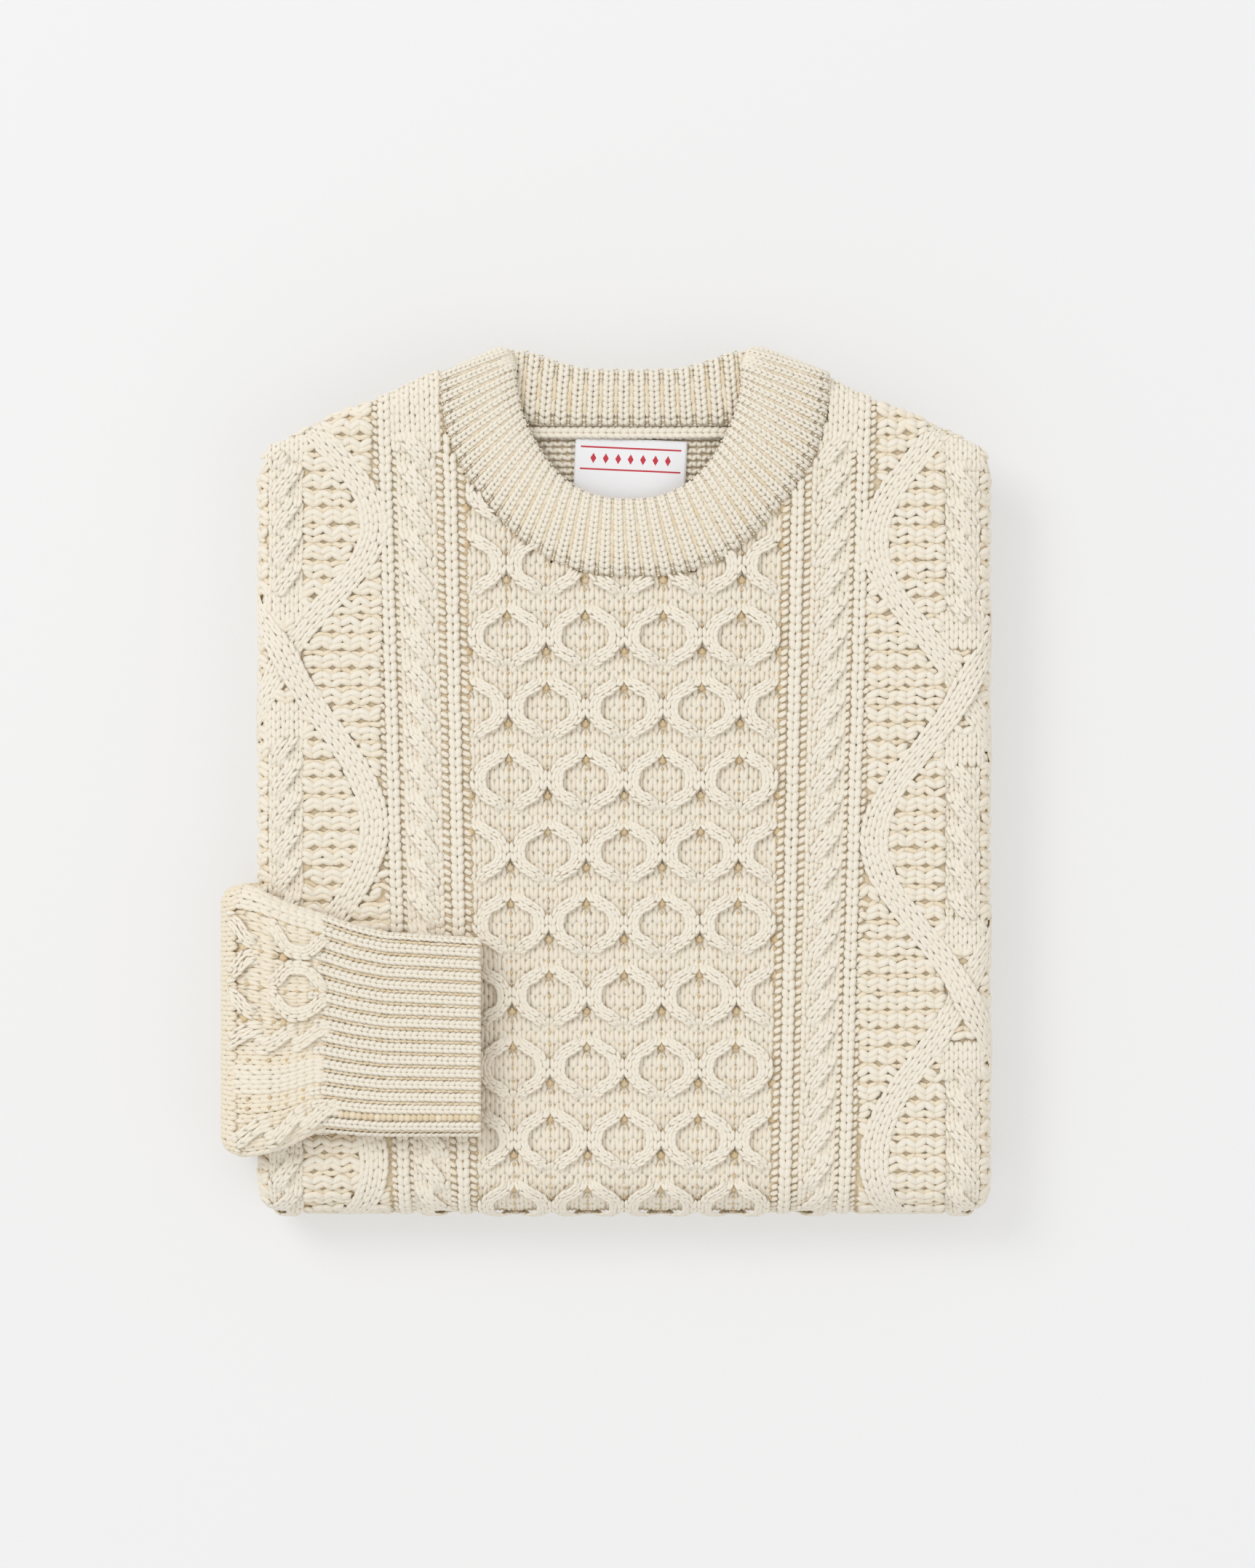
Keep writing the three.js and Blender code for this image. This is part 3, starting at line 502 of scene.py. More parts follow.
def groove(across, rows, pitch, width, out, tone):
    """The thread that shows between two ribs, tan as painted shade."""
    foot, head = [across + random.normal(0, THREAD_STRAY, len(rows)) for _ in range(2)]
    return rungs(foot, head, rows, THREAD_REACH * pitch, out, width, tone)


def ladder(across, rows, pitch, width, rise=0.34, out=-0.3, thick=0.8, tone=0.8):
    """Purl bumps between two wales, as short strands that rise to the right, in a lower tone as painted
    shade.
    """
    return rungs(across - width / 2, across + width / 2, rows, rise * pitch, out, thick * pitch, tone)


def gaps(across, rows, width, height, out):
    """Dark strands of painted shade in the small gaps between stitches."""
    return rungs(across, across, rows, height / 2, out, width, 0.0)


# The cables: height of the sunk wales and of a strand where it crosses over, and places of four wales
SUNK = -0.45
ARC_HIGH = 2.5
FOUR_WALES = (-1.5, -0.5, 0.5, 1.5)

# Knots of the strand in front at a rope's crossing: side, share of the repeat, and height
ROPE_KNOTS = ((-1, -0.66, SUNK), (-1, -0.36, 1.2), (0, 0.0, ARC_HIGH), (1, 0.36, 1.2), (1, 0.66, SUNK))
ROPE_STEP = 1.05
ROPE_STITCH = 1.12


def rope(middle, gauge, first, repeat, lean, low, high, base=0.0):
    """Four wales crossed two over two: upright wales and, over them, the strand in front."""
    pitch = repeat / 4
    rows = rows_between(low, high, pitch)
    legs = [wale(upright(middle + place * gauge, base + SUNK), rows, pitch, gauge) for place in FOUR_WALES]
    step = lean * ROPE_STEP * gauge
    for crossing in np.arange(first - repeat * math.floor((first - low) / repeat), high, repeat):
        knots = np.array(ROPE_KNOTS) * (step, repeat, 1) + (middle, crossing, base)
        legs.append(band(knots, 2, gauge, pitch * ROPE_STITCH))
    return np.vstack(legs)


# The honeycomb: how far a strand's bend reaches from its crossing, as a share of the repeat,
# then the hole under each roof and the small gaps on each edge
ARC_REACH = 0.22
STRAND_GAUGE = 3.75
STRAND_PITCH = 3.7
HOLE_DROP = 2.9
HOLE_REACH = 2.2
# The dark strands of painted shade in each hole and in the edge gaps: size, rise and depth
HOLE_SIZE = (5.2, 4.6)
HOLE_RISE = 0.4
HOLE_DEPTH = 0.6
EDGE_GAP_SIZE = (1.7, 2.0)
EDGE_GAP_HEIGHT = 0.75
# The sunk wales' lower tone, as painted shade
SUNK_SHADE = 0.93


def apex_of(cell, crossing):
    """Whether the strands on both sides of a cell's right edge meet there like a roof."""
    return (np.isin(np.mod(crossing, 4), (0, 3))) == (cell % 2 == 0)


def cell_wales(edges, first, repeat, low, high):
    """The sunk wales of a honeycomb, in a lower tone as painted shade, with a row of small gaps on each
    edge and a hole under each roof; dark strands in the gaps and holes paint their shade.
    """
    pitch = repeat / 3
    top = first + repeat * math.ceil((high - first) / repeat)
    rows = np.arange(top + ARC_REACH * repeat - HOLE_DROP, low, -pitch)
    rows = rows[rows < high]
    crossing = (first - rows) / repeat
    legs = []
    for left, right in zip(edges[:-1], edges[1:]):
        gauge = (right - left - 0.1) / 4
        centre = (right + left) / 2
        for place in FOUR_WALES:
            legs.append(wale(upright(centre + place * gauge, SUNK), rows, pitch, gauge, tone=SUNK_SHADE))
    found = np.vstack(legs)
    middle = ends_of(found)
    kept = np.ones(len(found), bool)
    shades = []
    for cell, edge in enumerate(edges, start=-1):
        shades.append(gaps(edge, rows + 0.25 * pitch, *EDGE_GAP_SIZE, SUNK + EDGE_GAP_HEIGHT))
        for number in range(int(math.floor(crossing.min())), int(math.ceil(crossing.max())) + 1):
            if apex_of(cell, number):
                height = first - number * repeat + ARC_REACH * repeat - HOLE_DROP
                away = np.hypot(middle[:, 0] - edge, middle[:, 1] - height)
                kept &= away > HOLE_REACH
                shades.append(gaps(edge, np.array([height + HOLE_RISE]), *HOLE_SIZE, SUNK - HOLE_DEPTH))
    return np.vstack([found[kept], *shades])


# Where a honeycomb strand bends: steps across and along, and heights
UNDER_STEP = 1.1
UNDER_REACH = 0.4
BEND_ACROSS = 0.82
BEND_ALONG = 0.72
UNDER_BEND_DROP = 0.4
TOP_BEND_STEP = (-0.5, 0.2)
SIDE_BULGE = 0.6
SIDE_HEIGHT = 2.0


def cell_bands(edges, first, repeat, low, high):
    """The raised strands of a honeycomb: one bent strand on each side of each cell ring."""
    legs = []
    reach = ARC_REACH * repeat
    for cell, (left, right) in enumerate(zip(edges[:-1], edges[1:])):
        centre = (right + left) / 2
        apart = (right - left) / 2 - STRAND_GAUGE
        for pair in range(int((first - high) // (2 * repeat)), int((first - low) // (2 * repeat)) + 1):
            roof = first - 2 * pair * repeat
            floor = roof - repeat
            if floor - 0.45 * repeat < low or roof > high + repeat:
                continue
            side = -1 if (pair + cell) % 2 == 0 else 1
            near, far = centre - side * (apart + UNDER_STEP), centre + side * apart
            low_half = [
                (near, floor - UNDER_REACH * repeat, SUNK - 0.4),
                (near, floor - reach - UNDER_BEND_DROP, 1.2),
                (centre + BEND_ACROSS * (near - centre), floor - BEND_ALONG * reach, 2.2),
                (centre, floor, ARC_HIGH),
                (centre + BEND_ACROSS * (far - centre), floor + BEND_ALONG * reach, 2.4),
                (far + TOP_BEND_STEP[0] * side, floor + reach + TOP_BEND_STEP[1], 2.2),
            ]
            middle = (far + SIDE_BULGE * side, (roof + floor) / 2, SIDE_HEIGHT)
            high_half = [(x, roof + floor - y, out) for x, y, out in reversed(low_half)]
            legs.append(band(low_half + [middle] + high_half, 2, STRAND_GAUGE, STRAND_PITCH))
    return np.vstack(legs)


# The strands of one moss ridge: rise up the chart, height, sway of the wave, width and tone, lower for the
# lower strands as painted shade
MOSS_STRANDS = ((2.5, 0.7, 1.35, 4.1, 0.74), (-0.4, 0.45, 1.25, 3.9, 0.6), (-3.6, -0.45, -0.9, 3.5, 0.5))
MOSS_RIPPLE = 0.25
MOSS_STRAY = 0.4
MOSS_OVERLAP = 0.32


def zigzag(count, number):
    """Up and down in turn, the other way round on every other ridge."""
    return np.where((np.arange(count) + number) % 2 == 0, 1.0, -1.0)


def wavy(points, overlap, width, tone):
    """Strands from point to point, drawn past both ends by a share of the step."""
    reach = (points[1:] - points[:-1]) * overlap
    return strands(points[:-1] - reach, points[1:] + reach, width, tone)


def moss(low, high, left, right):
    """Wavy ridges of purl bumps with sunk stitches between."""
    legs = []
    for number, y in enumerate(np.arange(low, high, MOSS_RIDGE)):
        x = np.arange(left, right, MOSS_WAVE / 2)
        up = zigzag(len(x), number)
        for rise, height, sway, width, tone in MOSS_STRANDS:
            points = columns(x, y + rise + sway * up, height + MOSS_RIPPLE * up)
            points[:, :2] += random.normal(0, MOSS_STRAY, (len(x), 2))
            legs.append(wavy(points, MOSS_OVERLAP, width, tone))
    return np.vstack(legs)


# The front's charts


def mirrored(legs):
    """The same stitches on the left half of the front."""
    legs = legs.copy()
    legs[:, [0, 3]] *= -1
    return legs


def narrowed(legs):
    """Draws the chart in towards the collar, as the knit narrows there."""
    legs = legs.copy()
    legs[:, 0] *= narrowing(legs[:, 1])
    legs[:, 3] *= narrowing(legs[:, 4])
    return legs


LOWEST = UNDER_FOLD + 2
HONEYCOMB_HALF = GAUGE * 4 * HONEYCOMB_CELLS / 2
HONEYCOMB_TOP = 150.0


def honeycomb_charts():
    """The honeycomb's sunk wales and its raised strands."""
    edges = np.linspace(-HONEYCOMB_HALF, HONEYCOMB_HALF, HONEYCOMB_CELLS + 1)
    sizes = (edges, HONEYCOMB_FIRST, HONEYCOMB_REPEAT, LOWEST, HONEYCOMB_TOP)
    return narrowed(cell_wales(*sizes)), narrowed(cell_bands(*sizes))


# Beside the honeycomb: the plain columns, then the ladders, as places and widths
COLUMN_GAUGE = 5.7
COLUMN_HEIGHT = 0.8
COLUMN_STRETCH = 0.88
LADDERS = ((76.4, 5.2), (86.4, 5.2), (107.2, 4.2), (115.9, 4.0))
LADDER_ROW = ROW * 0.88
ROPE_TOP = 163.0
SHOULDER_HEIGHT = 0.4


def side_chart():
    """Plain wales, ladders, the rope and the shoulder's plain knit, on the right half."""
    legs = []
    for middle in (INNER_COLUMN, OUTER_COLUMN):
        rows = rows_between(LOWEST, float(front_end(middle)), ROW)
        legs.append(wale(upright(middle, COLUMN_HEIGHT), rows, ROW, COLUMN_GAUGE, stretch=COLUMN_STRETCH))
    rows = rows_between(LOWEST, float(front_end(ROPE_MIDDLE)) - 2, LADDER_ROW)
    for middle, width in LADDERS:
        legs.append(ladder(middle, rows, LADDER_ROW, width))
    legs.append(rope(ROPE_MIDDLE, GAUGE, ROPE_FIRST, ROPE_REPEAT, 1.0, LOWEST, ROPE_TOP))
    for number in range(-2, 3):
        across = ROPE_MIDDLE + number * GAUGE
        rows = rows_between(ROPE_TOP - 3, float(front_end(across)), ROW)
        legs.append(wale(upright(across, SHOULDER_HEIGHT), rows, ROW, GAUGE))
    return np.vstack(legs)


def diamond_offset(along, crosses):
    """Signed distance of the first band from the diamond's axis, for crossings at given heights."""
    phases = np.arange(len(crosses)) * math.pi
    wave = np.sin(np.interp(along, crosses[::-1], phases[::-1]))
    return DIAMOND_REACH * np.sign(wave) * (0.5 * np.abs(wave) + 0.5 * wave * wave)


# Half widths inside a diamond, and the half openings from which the fan and the rope show
BAND_HALF = 6.4
FAN_HALF = 10.8
FAN_FROM = 13.0
FAN_GAUGE = 4.4
ROPE_FROM = 25.0
ROPE_HALF = 9.4
INNER_ROPE_GAUGE = 4.3
CHART_TOP = 194.0
MOSS_START = 104.0
MOSS_EDGE = 117.6

# The two bands that cross: height, how much the one in front rises, and over what width
BAND_HEIGHT = 1.25
OVER_RISE = 1.3
OVER_WIDTH = 8


def diamond_chart(crosses):
    """Two bands of three wales that cross, a rope inside each diamond and moss round them."""
    legs = []
    rows = rows_between(LOWEST, CHART_TOP, ROW)
    for first_band in (-1, 1):

        def path(along, first_band=first_band):
            offset = first_band * diamond_offset(along, crosses)
            over = np.exp(-((offset / OVER_WIDTH) ** 2)) * first_band
            return columns(DIAMOND_AXIS + offset, along, BAND_HEIGHT + OVER_RISE * over)

        for offset in (-1, 0, 1):
            legs.append(wale(path, rows, ROW, GAUGE, offset * GAUGE * 0.97))
    bands = np.vstack(legs)

    def reach_of(found):
        """The diamond's half width at each strand, and the strand's distance from its axis."""
        middle = ends_of(found)
        return np.abs(diamond_offset(middle[:, 1], crosses)), np.abs(middle[:, 0] - DIAMOND_AXIS)

    sizes = (ROPE_FIRST, ROPE_REPEAT, -1.0, LOWEST, CHART_TOP)
    inner = rope(DIAMOND_AXIS, INNER_ROPE_GAUGE, *sizes, base=0.1)
    inner = inner[reach_of(inner)[0] > ROPE_FROM]
    places = [DIAMOND_AXIS + number * FAN_GAUGE for number in range(-2, 3)]
    fans = np.vstack([wale(upright(place, out=0.2), rows, ROW, FAN_GAUGE) for place in places])
    reach, from_axis = reach_of(fans)
    fans = fans[(reach > FAN_FROM) & (reach < ROPE_FROM + 2) & (from_axis < reach - 4)]
    around = moss(LOWEST, CHART_TOP, MOSS_START, SIDE_LIMIT - 2)
    reach, from_axis = reach_of(around)
    clear = np.abs(from_axis - reach) > BAND_HALF
    clear &= ~((from_axis < ROPE_HALF) & (reach > ROPE_FROM))
    clear &= ~((from_axis < FAN_HALF) & (reach > FAN_FROM) & (from_axis < reach))
    middle = ends_of(around)
    clear &= middle[:, 0] > MOSS_EDGE * narrowing(middle[:, 1])
    found = np.vstack([bands, inner, fans, around[clear]])
    return found[ends_of(found)[:, 1] < front_end(ends_of(found)[:, 0])]


# From chart to yarn

# Heights above which cloth is on top of the pile, and may be covered by the sleeve; where the cover starts
ON_TOP = 20
COVERED_ABOVE = 40
COVERED_FROM = -170


def neck_outline(grow):
    """Everything inside the neck seam, in plan."""
    middle = SEAM_LINE.mean(axis=0)
    grown = SEAM_LINE + unit(SEAM_LINE - middle) * grow
    return np.vstack([grown, [[grown[-1, 0], 260], [grown[0, 0], 260]]])


def under_sleeve(points, margin):
    """What the sleeve and cuff cover, away from their edges."""
    x, y, z = points.T
    across = (x > COVERED_FROM) & (x < MOUTH_X - margin)
    below = y < np.interp(x, TUBE_X, TUBE_HIGH) - margin
    above = y > np.interp(x, TUBE_X, TUBE_LOW) + margin
    return across & below & above & (z > COVERED_ABOVE)


def laid(legs, place, depth=0.62, wobble=0.18):
    """Strands in space: middle, direction, outward direction, size and tone, darkened as painted shade the
    deeper they lie.
    """
    legs = legs.copy()
    legs[:, :6] += random.normal(0, wobble, (len(legs), 6)) * (1, 1, 0.5, 1, 1, 0.5)
    start, end = place(*legs[:, :3].T), place(*legs[:, 3:6].T)
    middle = ends_of(legs)
    level, above = place(*middle.T), place(*(middle + (0, 0, 1)).T)
    length = np.linalg.norm(end - start, axis=1)
    drawn = np.linalg.norm(legs[:, 3:6] - legs[:, :3], axis=1)
    keep = (length > 0.45 * drawn) & (length < 2.2 * drawn)
    # Painted shade: the deeper a strand lies in the knit, the lower its tone
    shade = 0.55 + 0.45 * smooth((middle[:, 2] + 1.4) / 2.2)
    found = {
        "spot": (start + end) / 2,
        "along": unit(end - start),
        "up": unit(above - level),
        "size": columns(length, legs[:, 6], legs[:, 6] * depth),
        "tone": np.clip(legs[:, 7] * shade + random.normal(0, 0.05, len(legs)), 0, 1),
    }
    return only(found, keep)


def only(yarn, kept):
    """The strands that are kept."""
    return {key: value[kept] for key, value in yarn.items()}


def facing_up(yarn, least):
    """Leaves out the stitches that face down, where nothing sees them."""
    return only(yarn, yarn["up"][:, 2] > least)


def together(*parts):
    """All strands of several parts."""
    return {key: np.concatenate([part[key] for part in parts]) for key in parts[0]}


# Materials, and the yarn as instances of one short strand


class Wiring:
    """Short ways to add nodes to a tree and to wire them."""

    def __init__(self, tree):
        self.tree = tree

    def give(self, node, inputs):
        """Sets inputs to values, or wires them to outputs."""
        for key, value in inputs.items():
            if isinstance(value, bpy.types.NodeSocket):
                self.tree.links.new(value, node.inputs[key])
            else:
                node.inputs[key].default_value = value

    def add(self, kind, inputs, **settings):
        """A new node with its settings and inputs."""
        node = self.tree.nodes.new(kind)
        for key, value in settings.items():
            setattr(node, key, value)
        self.give(node, inputs)
        return node

    def calc(self, operation, *values):
        """The result of one sum."""
        return self.add("ShaderNodeMath", dict(enumerate(values)), operation=operation).outputs[0]

    def away(self, value, middle):
        """How far a value is from a middle."""
        return self.calc("ABSOLUTE", self.calc("SUBTRACT", value, middle))

    def split(self, vector):
        """The first two parts of a vector."""
        return self.add("ShaderNodeSeparateXYZ", {0: vector}).outputs[:2]

    def texture(self, kind, place, scale, **more):
        """A texture's value at a place."""
        inputs = {"Vector": place, "Scale": scale, **more.pop("inputs", {})}
        return self.add("ShaderNodeTex" + kind, inputs, **more).outputs["Fac"]

    def object_place(self):
        """The place in the object's own frame."""
        return self.add("ShaderNodeTexCoord", {}).outputs["Object"]

    def uv(self):
        """The place on the mapped mesh."""
        return self.add("ShaderNodeUVMap", {}, uv_map="UVMap").outputs[0]

    def ramp(self, level, first, last, end=1.0, between=()):
        """A colour that runs from the first to the last, which is reached at the end."""
        node = self.add("ShaderNodeValToRGB", {"Fac": level})
        stops = node.color_ramp.elements
        stops[0].color, stops[1].color, stops[1].position = first, last, end
        for position, colour in between:
            stops.new(position).color = colour
        return node.outputs["Color"]

    def bump(self, height, strength, distance, **below):
        """A normal bent by a height, in millimetres."""
        inputs = {"Height": height, "Strength": strength, "Distance": distance * MM, **below}
        return self.add("ShaderNodeBump", inputs).outputs[0]


def paint(name, **inputs):
    """A new material with its wiring and shader; the words of an input's name are joined by underscores."""
    material = bpy.data.materials.new(name)
    material.use_nodes = True
    wires = Wiring(material.node_tree)
    shader = material.node_tree.nodes["Principled BSDF"]
    wires.give(shader, {key.replace("_", " "): value for key, value in inputs.items()})
    return material, wires, shader


def linear(red, green, blue):
    """A colour given as on the photo, from 0 to 255."""

    def channel(value):
        share = value / 255
        return share / 12.92 if share <= 0.04045 else ((share + 0.055) / 1.055) ** 2.4

    return (channel(red), channel(green), channel(blue), 1.0)


# Wool colours: cream where lit, then two darker colours of painted shade for strands in a low tone; the
# ground's colours, darker than the wool, are painted shade behind the stitches
CREAM = linear(244, 236, 220)
LIGHT_SHADE = linear(241, 228, 203)
SHADED = linear(222, 198, 156)
GROUND_DARK = linear(228, 210, 176)
GROUND_LIGHT = linear(238, 224, 196)
SATIN_WHITE = linear(241, 241, 243)
SATIN_RED = linear(196, 42, 60)


def yarn_material():
    """Plied wool: painted shade by depth in the knit, read from each strand's tone, slow colour drift, fuzz
    and the twist of the ply.
    """
    material, wires, shader = paint(
        "cream_wool", Roughness=0.95, Sheen_Weight=0.25, Sheen_Roughness=0.6, Specular_IOR_Level=0.15
    )
    # The tone of each strand, which holds its painted shade
    tone = wires.add("ShaderNodeAttribute", {}, attribute_name="tone").outputs["Fac"]
    place = wires.object_place()
    drift = wires.texture("Noise", place, 160, inputs={"Detail": 3})
    level = wires.calc("MULTIPLY_ADD", drift, 0.24, wires.calc("ADD", tone, -0.12))
    ply = wires.texture("Wave", wires.uv(), 1.1, inputs={"Distortion": 1.2}, bands_direction="DIAGONAL")
    fuzz = wires.texture("Noise", place, 1800, inputs={"Detail": 4})
    twist = wires.bump(ply, strength=0.35, distance=0.4)
    # Low tones turn into the tans of painted shade
    colour = wires.ramp(level, SHADED, CREAM, end=0.75, between=[(0.3, LIGHT_SHADE)])
    hairy = wires.bump(fuzz, strength=0.5, distance=0.35, Normal=twist)
    wires.give(shader, {"Base Color": colour, "Normal": hairy})
    return material


def ground_material():
    """The shaded back of the knit that shows in its holes."""
    material, wires, shader = paint("wool_ground", Roughness=1.0)
    # Colours darker than the wool, as painted shade behind the stitches, mottled at random
    noise = wires.texture("Noise", wires.object_place(), 700)
    colour = wires.ramp(noise, GROUND_DARK, GROUND_LIGHT)
    wires.give(shader, {"Base Color": colour, "Normal": wires.bump(noise, strength=0.8, distance=0.6)})
    return material


# The label's print, as shares of its height and width
RULES_UP = (0.88, 0.60)
RULE_HALF = 0.011
RULE_REACH = 0.45
LOZENGES_UP = 0.74
LOZENGE_COUNT = 9.0
LOZENGE_SLENDER = 3.6
LOZENGE_SIZE = 0.24
LOZENGE_REACH = 0.39


def satin_material():
    """White woven satin with two thin red rules and a row of small red lozenges between them."""
    material, wires, shader = paint("label_satin", Roughness=0.42, Sheen_Weight=0.2)
    calc, away = wires.calc, wires.away
    over, up = wires.split(wires.uv())
    rules = calc("MAXIMUM", *[calc("LESS_THAN", away(up, height), RULE_HALF) for height in RULES_UP])
    rules = calc("MULTIPLY", rules, calc("LESS_THAN", away(over, 0.5), RULE_REACH))
    sideways = away(calc("FRACT", calc("MULTIPLY", over, LOZENGE_COUNT)), 0.5)
    from_point = calc("MULTIPLY_ADD", away(up, LOZENGES_UP), LOZENGE_SLENDER, sideways)
    lozenges = calc("LESS_THAN", from_point, LOZENGE_SIZE)
    lozenges = calc("MULTIPLY", lozenges, calc("LESS_THAN", away(over, 0.5), LOZENGE_REACH))
    printed = calc("MAXIMUM", rules, lozenges)
    inputs = {"A": SATIN_WHITE, "B": SATIN_RED, "Factor": printed}
    mixed = wires.add("ShaderNodeMix", inputs, data_type="RGBA").outputs["Result"]
    weave = wires.texture("Wave", wires.object_place(), 900, bands_direction="Y")
    wires.give(shader, {"Base Color": mixed, "Normal": wires.bump(weave, strength=0.25, distance=0.1)})
    return material


def layers_material():
    """Knit seen from below: rows of small V shapes as bump, with painted shade in the hollows between them.
    """
    material, wires, shader = paint("wool_layers", Roughness=1.0, Sheen_Weight=0.25)
    calc = wires.calc
    across, along = wires.split(wires.object_place())
    wales = calc("MULTIPLY", across, 1 / (GAUGE * MM))
    lean = wires.away(calc("FRACT", wales), 0.5)
    rows = calc("MULTIPLY_ADD", along, 1 / (ROW * MM), calc("MULTIPLY", lean, -1.6))

    def swell(value):
        """A row of round bumps, one for each unit."""
        return calc("ABSOLUTE", calc("SINE", calc("MULTIPLY", value, math.pi)))

    height = calc("MULTIPLY", swell(rows), calc("POWER", swell(wales), 0.4))
    # Painted shade: the hollows between the bumps are darker
    colour = wires.ramp(height, LIGHT_SHADE, CREAM, end=0.6)
    wires.give(shader, {"Base Color": colour, "Normal": wires.bump(height, strength=1.0, distance=1.2)})
    return material


def strand_tree():
    """One strand is a spindle that tapers to both ends and arches a little, laid at each point."""
    tree = bpy.data.node_groups.new("laid_strands", "GeometryNodeTree")
    for name, kind, value in (
        ("Points", "Geometry", None),
        ("Sides", "Int", 5),
        ("Lengths", "Int", 4),
        ("Arch", "Float", 0.2),
        ("Fullness", "Float", 2.4),
        ("Yarn", "Material", None),
    ):
        socket = tree.interface.new_socket(name, in_out="INPUT", socket_type="NodeSocket" + kind)
        if value is not None:
            socket.default_value = value
    tree.interface.new_socket("Knit", in_out="OUTPUT", socket_type="NodeSocketGeometry")
    wires = Wiring(tree)
    calc = wires.calc
    given = wires.add("NodeGroupInput", {}).outputs
    counts = {"Vertices X": calc("ADD", given["Lengths"], 1), "Vertices Y": calc("ADD", given["Sides"], 1)}
    flat = wires.add("GeometryNodeMeshGrid", {"Size X": 1, "Size Y": 1, **counts}).outputs
    share, turn = wires.split(flat["UV Map"])
    turn = calc("MULTIPLY", turn, 2 * math.pi)
    centred = calc("MULTIPLY_ADD", share, 2.0, -1.0)
    ended = calc("POWER", calc("ABSOLUTE", centred), given["Fullness"])
    radius = calc("MULTIPLY", calc("SQRT", calc("SUBTRACT", 1.0, ended)), 0.5)
    bow = calc("SUBTRACT", 0.5, calc("MULTIPLY", centred, centred))
    rise = calc("MULTIPLY", calc("COSINE", turn), calc("MULTIPLY", radius, -1.0))
    x = calc("MULTIPLY", centred, 0.5)
    y = calc("MULTIPLY", calc("SINE", turn), radius)
    z = calc("ADD", rise, calc("MULTIPLY", bow, given["Arch"]))
    place = wires.add("ShaderNodeCombineXYZ", {0: x, 1: y, 2: z}).outputs[0]

    def step(kind, inputs, **settings):
        """The first output of a geometry node."""
        return wires.add("GeometryNode" + kind, inputs, **settings).outputs[0]

    def read(name):
        """A vector kept on each point."""
        return step("InputNamedAttribute", {"Name": name}, data_type="FLOAT_VECTOR")

    strand = step("SetPosition", {"Geometry": flat["Mesh"], "Position": place})
    mapped = {"Geometry": strand, "Name": "UVMap", "Value": flat["UV Map"]}
    strand = step("StoreNamedAttribute", mapped, data_type="FLOAT2", domain="CORNER")
    strand = step("MergeByDistance", {"Geometry": strand, "Distance": 0.001})
    axes = {"Primary Axis": read("along"), "Secondary Axis": read("up")}
    turned = wires.add("FunctionNodeAxesToRotation", axes, primary_axis="X", secondary_axis="Z").outputs[0]
    spots = {"Points": given["Points"], "Instance": strand, "Rotation": turned, "Scale": read("size")}
    knitted = step("RealizeInstances", {0: step("InstanceOnPoints", spots)})
    knitted = step("SetShadeSmooth", {0: knitted})
    knitted = step("SetMaterial", {"Geometry": knitted, "Material": given["Yarn"]})
    wires.add("NodeGroupOutput", {0: knitted})
    return tree


WOOL = yarn_material()
GROUND = ground_material()
STRANDS = strand_tree()


def new_object(name, data):
    """A new object in the scene."""
    made = bpy.data.objects.new(name, data)
    bpy.context.scene.collection.objects.link(made)
    return made


def apply_modifiers(made):
    """Puts the mesh that the modifiers make in place of the object's own."""
    done = bpy.data.meshes.new_from_object(made.evaluated_get(bpy.context.evaluated_depsgraph_get()))
    made.modifiers.clear()
    made.data = done
    return done


def knit(name, yarn, sides=5):
    """One mesh of realized strands."""
    mesh = bpy.data.meshes.new(name + "_points")
    mesh.from_pydata((yarn["spot"] * MM).tolist(), [], [])
    vectors = ("along", "up", "size")
    for key in vectors:
        values = (yarn[key] * (MM if key == "size" else 1)).astype(np.float32).ravel()
        mesh.attributes.new(key, "FLOAT_VECTOR", "POINT").data.foreach_set("vector", values)
    # The tone carries the painted shade of each strand, with a little random tone
    mesh.attributes.new("tone", "FLOAT", "POINT").data.foreach_set("value", yarn["tone"].astype(np.float32))
    made = new_object(name, mesh)
    modifier = made.modifiers.new("strands", "NODES")
    modifier.node_group = STRANDS
    inputs = [item for item in STRANDS.interface.items_tree if item.in_out == "INPUT"]
    sockets = {item.name: item.identifier for item in inputs}
    modifier[sockets["Sides"]] = sides
    modifier[sockets["Yarn"]] = WOOL
    done = apply_modifiers(made)
    done.name = name
    for key in vectors:
        if key in done.attributes:
            done.attributes.remove(done.attributes[key])
    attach(made, "root")
    return made


def tidy_mesh(mesh):
    """Merges doubles, drops loose points and turns the faces outwards."""
    work = bmesh.new()
    work.from_mesh(mesh)
    bmesh.ops.remove_doubles(work, verts=work.verts, dist=0.00002)
    bmesh.ops.delete(work, geom=[vert for vert in work.verts if not vert.link_faces], context="VERTS")
    bmesh.ops.recalc_face_normals(work, faces=work.faces)
    work.to_mesh(mesh)
    work.free()


